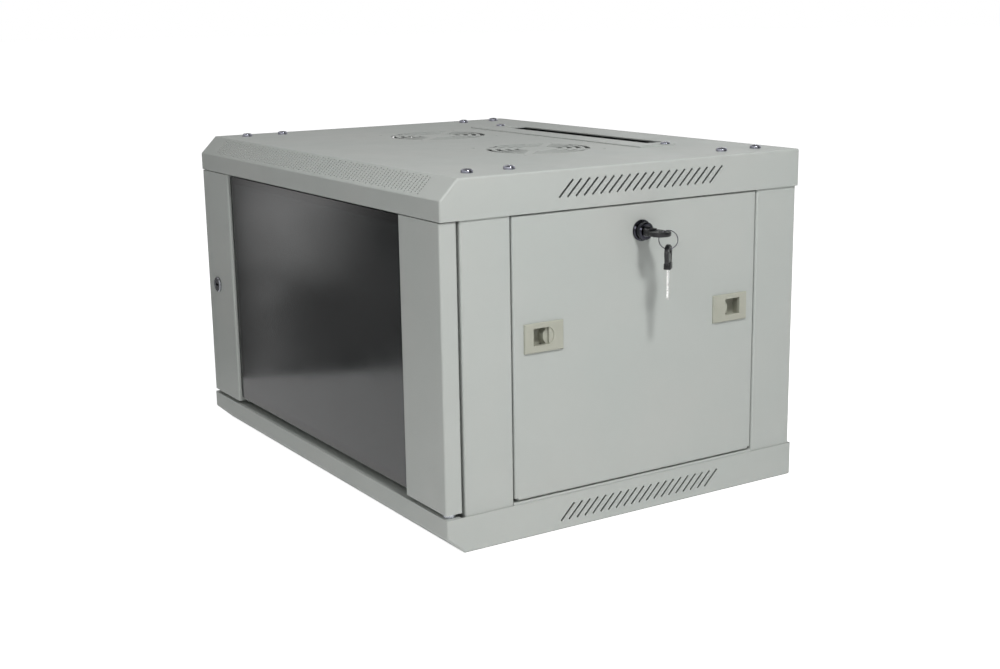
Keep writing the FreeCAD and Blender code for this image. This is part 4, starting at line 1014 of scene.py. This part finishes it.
low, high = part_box("key_ring")
ring_middle = (low + high) / 2
RING_RADIUS = (high.z - low.z) / 2 / MM - CAD_WIRE
hung = Matrix.Translation(ring_middle) @ Matrix.Rotation(RING_TURN, 4, "Z")
ring = finished("split_ring", lambda mesh: add_split_ring(mesh, RING_RADIUS, WIRE), palette["ring_wire"],
                hung)
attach(ring, "ring")
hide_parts("key_ring")
print("ring radius", round(RING_RADIUS, 2), "mm")

# %% [markdown]
# ## Studio
# The cabinet stands on a white floor in a white room. The room is drawn white for the camera and in
# reflections, while its light on the cabinet stays lower, so that the paint keeps its own grey. A
# plain white floor would turn grey wherever the light falls off, so this one has a little glow that
# only the camera and mirrors see, and it still takes the cabinet's shadow.

# %% Floor and world
FLOOR_RADIUS = 30.0
FLOOR_GAP = 0.0005            # keeps the floor clear of the underside
FLOOR_MIRRORED = 0.45         # share of the floor's glow that reflections see


def studio_world(fill):
    """White where it is seen or mirrored, and a weaker light on everything else."""
    world = bpy.data.worlds.new("white_room")
    bpy.context.scene.world = world
    world.use_nodes = True
    tree = world.node_tree
    tree.nodes.clear()
    ray = add_node(tree, "ShaderNodeLightPath")
    seen = add_node(tree, "ShaderNodeMath", {0: ray.outputs["Is Camera Ray"],
                                             1: ray.outputs["Is Glossy Ray"]}, operation="MAXIMUM")
    shown = add_node(tree, "ShaderNodeMath", {0: seen.outputs[0],
                                              1: ray.outputs["Is Transmission Ray"]}, operation="MAXIMUM")
    strength = add_node(tree, "ShaderNodeMapRange", {"Value": shown.outputs[0], "To Min": fill,
                                                     "To Max": 1.0})
    light = add_node(tree, "ShaderNodeBackground", {"Strength": strength.outputs["Result"],
                                                    "Color": (1.0, 1.0, 1.0, 1.0)})
    output = add_node(tree, "ShaderNodeOutputWorld")
    tree.links.new(light.outputs[0], output.inputs["Surface"])


def studio_floor(lift):
    """A wide matt floor that a little light of its own lifts to white where the camera sees it."""
    material, tree, output, place = new_material("matt_white_floor")
    speck = add_node(tree, "ShaderNodeTexNoise", {"Vector": place, "Scale": 1 / 0.4})
    colour = add_node(tree, "ShaderNodeMix", {0: speck.outputs["Fac"], 6: linear("#f2f2f2"),
                                              7: linear("#f4f4f4")}, data_type="RGBA")
    matt = add_node(tree, "ShaderNodeBsdfDiffuse", {"Color": colour.outputs[2]})
    ray = add_node(tree, "ShaderNodeLightPath")
    mirrored = add_node(tree, "ShaderNodeMath", {0: ray.outputs["Is Glossy Ray"],
                                                  1: FLOOR_MIRRORED}, operation="MULTIPLY")
    seen = add_node(tree, "ShaderNodeMath", {0: ray.outputs["Is Camera Ray"],
                                             1: mirrored.outputs[0]}, operation="MAXIMUM")
    glow = add_node(tree, "ShaderNodeMath", {0: seen.outputs[0], 1: lift}, operation="MULTIPLY")
    shine = add_node(tree, "ShaderNodeEmission", {"Strength": glow.outputs[0]})
    both = add_node(tree, "ShaderNodeAddShader", {0: matt.outputs[0], 1: shine.outputs[0]})
    tree.links.new(both.outputs[0], output.inputs["Surface"])
    mesh = bmesh.new()
    bmesh.ops.create_circle(mesh, cap_ends=True, segments=64, radius=FLOOR_RADIUS)
    floor = mesh_object("studio_floor", mesh)
    floor.data.transform(Matrix.Translation((0, 0, cad_low.z - FLOOR_GAP)))
    dress(floor, material)


studio_world(0.28)
studio_floor(0.86)
print("floor at z", round(cad_low.z, 4))

# %% [markdown]
# ## Dark boards for the reflections
# In an all-white room, chrome and glass turn white and lose their shape. A studio stands dark boards
# just out of the camera's view, and the metal draws itself with them. Their cloth could be one flat
# grey, but a reflection without any change in it looks painted on, so its brightness drifts.

# %% Felt with soft patches
PATCH_SPAN = (0.42, 0.68)     # noise values between which the cloth goes from dark to pale


def felt(name, dark, pale, patch):
    """Board cloth whose brightness drifts between dark and pale in patches of a given size."""
    material, tree, output, place = new_material(name)
    blotch = add_node(tree, "ShaderNodeTexNoise", {"Vector": place, "Scale": 1 / patch, "Detail": 1.5,
                                                   "Roughness": 0.45})
    level = add_node(tree, "ShaderNodeMapRange", {"Value": blotch.outputs["Fac"],
                                                  "From Min": PATCH_SPAN[0], "From Max": PATCH_SPAN[1],
                                                  "To Min": dark, "To Max": pale})
    shine = add_node(tree, "ShaderNodeEmission", {"Strength": level.outputs["Result"]})
    tree.links.new(shine.outputs[0], output.inputs["Surface"])
    return material


print("felt ready")


# %% [markdown]
# ## A hazy window for the glass
# A dark pane shows mostly what it mirrors. In a real room that is a window and some furniture, out
# of focus. This board holds just the soft shapes of one: a pale field that comes up with height, a
# dimmer spill beside it and a fall towards the far edge. Each edge is a smooth ramp along one axis,
# and a noise makes the whole a little uneven.

# %% A hazy window for the glass
SILL = (0.10, 0.22)           # height over which the field comes up
FIELD = (-0.53, -0.44)        # along Y: where the field begins
SPILL = (-0.43, -0.36)        # where the spill begins
SPILL_LEVEL = 0.45
FAR_EDGE = (-0.36, -0.32)     # where everything falls off
FAR_LEVEL = 0.35
FIELD_STRENGTH = 0.62
BASE_STRENGTH = 0.20


def hazy_window():
    """The board that the door's pane mirrors."""
    material, tree, output, place = new_material("hazy_window")
    axes = add_node(tree, "ShaderNodeSeparateXYZ", {0: place})
    ramps = []
    for axis, span, first, last in (("Z", SILL, 0.0, 1.0), ("Y", FIELD, 0.0, 1.0),
                                    ("Y", SPILL, 0.0, SPILL_LEVEL), ("Y", FAR_EDGE, 1.0, FAR_LEVEL)):
        ramps.append(add_node(tree, "ShaderNodeMapRange", {
            "Value": axes.outputs[axis], "From Min": span[0], "From Max": span[1], "To Min": first,
            "To Max": last}, interpolation_type="SMOOTHSTEP").outputs[0])
    high, beside, spill, edge = ramps
    glow = add_node(tree, "ShaderNodeMath", {0: high, 1: beside}, operation="MULTIPLY")
    lit = add_node(tree, "ShaderNodeMath", {0: glow.outputs[0], 1: spill}, operation="MAXIMUM")
    uneven = drifting(tree, place, 0.09, 0.75, 1.25, Detail=2.0)[1]
    level = add_node(tree, "ShaderNodeMath", {0: lit.outputs[0], 1: FIELD_STRENGTH,
                                               2: BASE_STRENGTH}, operation="MULTIPLY_ADD")
    framed = add_node(tree, "ShaderNodeMath", {0: level.outputs[0], 1: edge}, operation="MULTIPLY")
    seen = add_node(tree, "ShaderNodeMath", {0: framed.outputs[0], 1: uneven}, operation="MULTIPLY")
    shine = add_node(tree, "ShaderNodeEmission", {"Strength": seen.outputs[0]})
    tree.links.new(shine.outputs[0], output.inputs["Surface"])
    return material


print("window ready")


# %% [markdown]
# ## Standing the boards
# The left board is for the door's glass, the back one for the roof, and the front one for the screw
# heads. The top and side ones darken what the bright metal mirrors. All are seen in reflections
# alone: they throw no shadow and light nothing that is matt.

# %% Stand the boards
def board(name, centre, facing, width, height, material):
    """Upright or lying board, seen only in reflections."""
    mesh = bmesh.new()
    bmesh.ops.create_grid(mesh, x_segments=1, y_segments=1, size=0.5)
    thing = mesh_object(name, mesh)
    turn_to = Vector(facing).to_track_quat("Z", "Y").to_matrix().to_4x4()
    thing.data.transform(Matrix.Translation(centre) @ turn_to @ Matrix.Diagonal((width, height, 1, 1)))
    dress(thing, material)
    thing.visible_camera = False
    thing.visible_diffuse = False
    thing.visible_transmission = False
    thing.visible_volume_scatter = False
    thing.visible_shadow = False


board("left_board", (-0.426, -0.455, 0.30), (0.927, 0.375, 0.0), 0.60, 0.60, hazy_window())
board("back_board", (-3.38, 1.04, 0.7), (0.6, -0.8, 0.0), 2.6, 1.4, felt("grey_felt", 0.10, 0.45, 0.8))
board("top_board", (0.0, 0.6, 2.2), (0.0, 0.0, -1.0), 3.4, 3.0, felt("dim_felt", 0.06, 0.30, 0.8))
board("side_board", (2.3, 1.7, 0.9), (-0.8, -0.6, 0.0), 2.6, 1.9, felt("dark_felt", 0.05, 0.20, 0.8))
board("front_board", (2.1, -1.3, 1.9), (-0.68, 0.42, -0.6), 1.9, 1.7, felt("black_felt", 0.03, 0.12, 0.8))
print("boards stand")


# %% [markdown]
# ## Lamps
# One strong soft lamp stands high on the keyed side, so the roof and that side are bright and the
# door falls into half shade. A weak one, lower and in front, lifts the door's frame. Disc lamps give
# round highlights on the screws and a shadow that softens with distance.

# %% Lamps
def soft_lamp(name, place, aim, size, power):
    """Disc of white light at a place, turned to what it aims at."""
    data = bpy.data.lights.new(name, "AREA")
    data.shape = "DISK"
    data.size = size
    data.energy = power
    lamp = bpy.data.objects.new(name, data)
    bpy.context.scene.collection.objects.link(lamp)
    lamp.location = place
    lamp.rotation_euler = (Vector(aim) - Vector(place)).to_track_quat("-Z", "Y").to_euler()


soft_lamp("key_lamp", (1.52, -0.25, 1.76), (0.25, 0.0, 0.2), 0.32, 26.0)
soft_lamp("front_lamp", (0.98, -0.92, 0.80), (0.1, 0.0, 0.2), 0.45, 2.05)
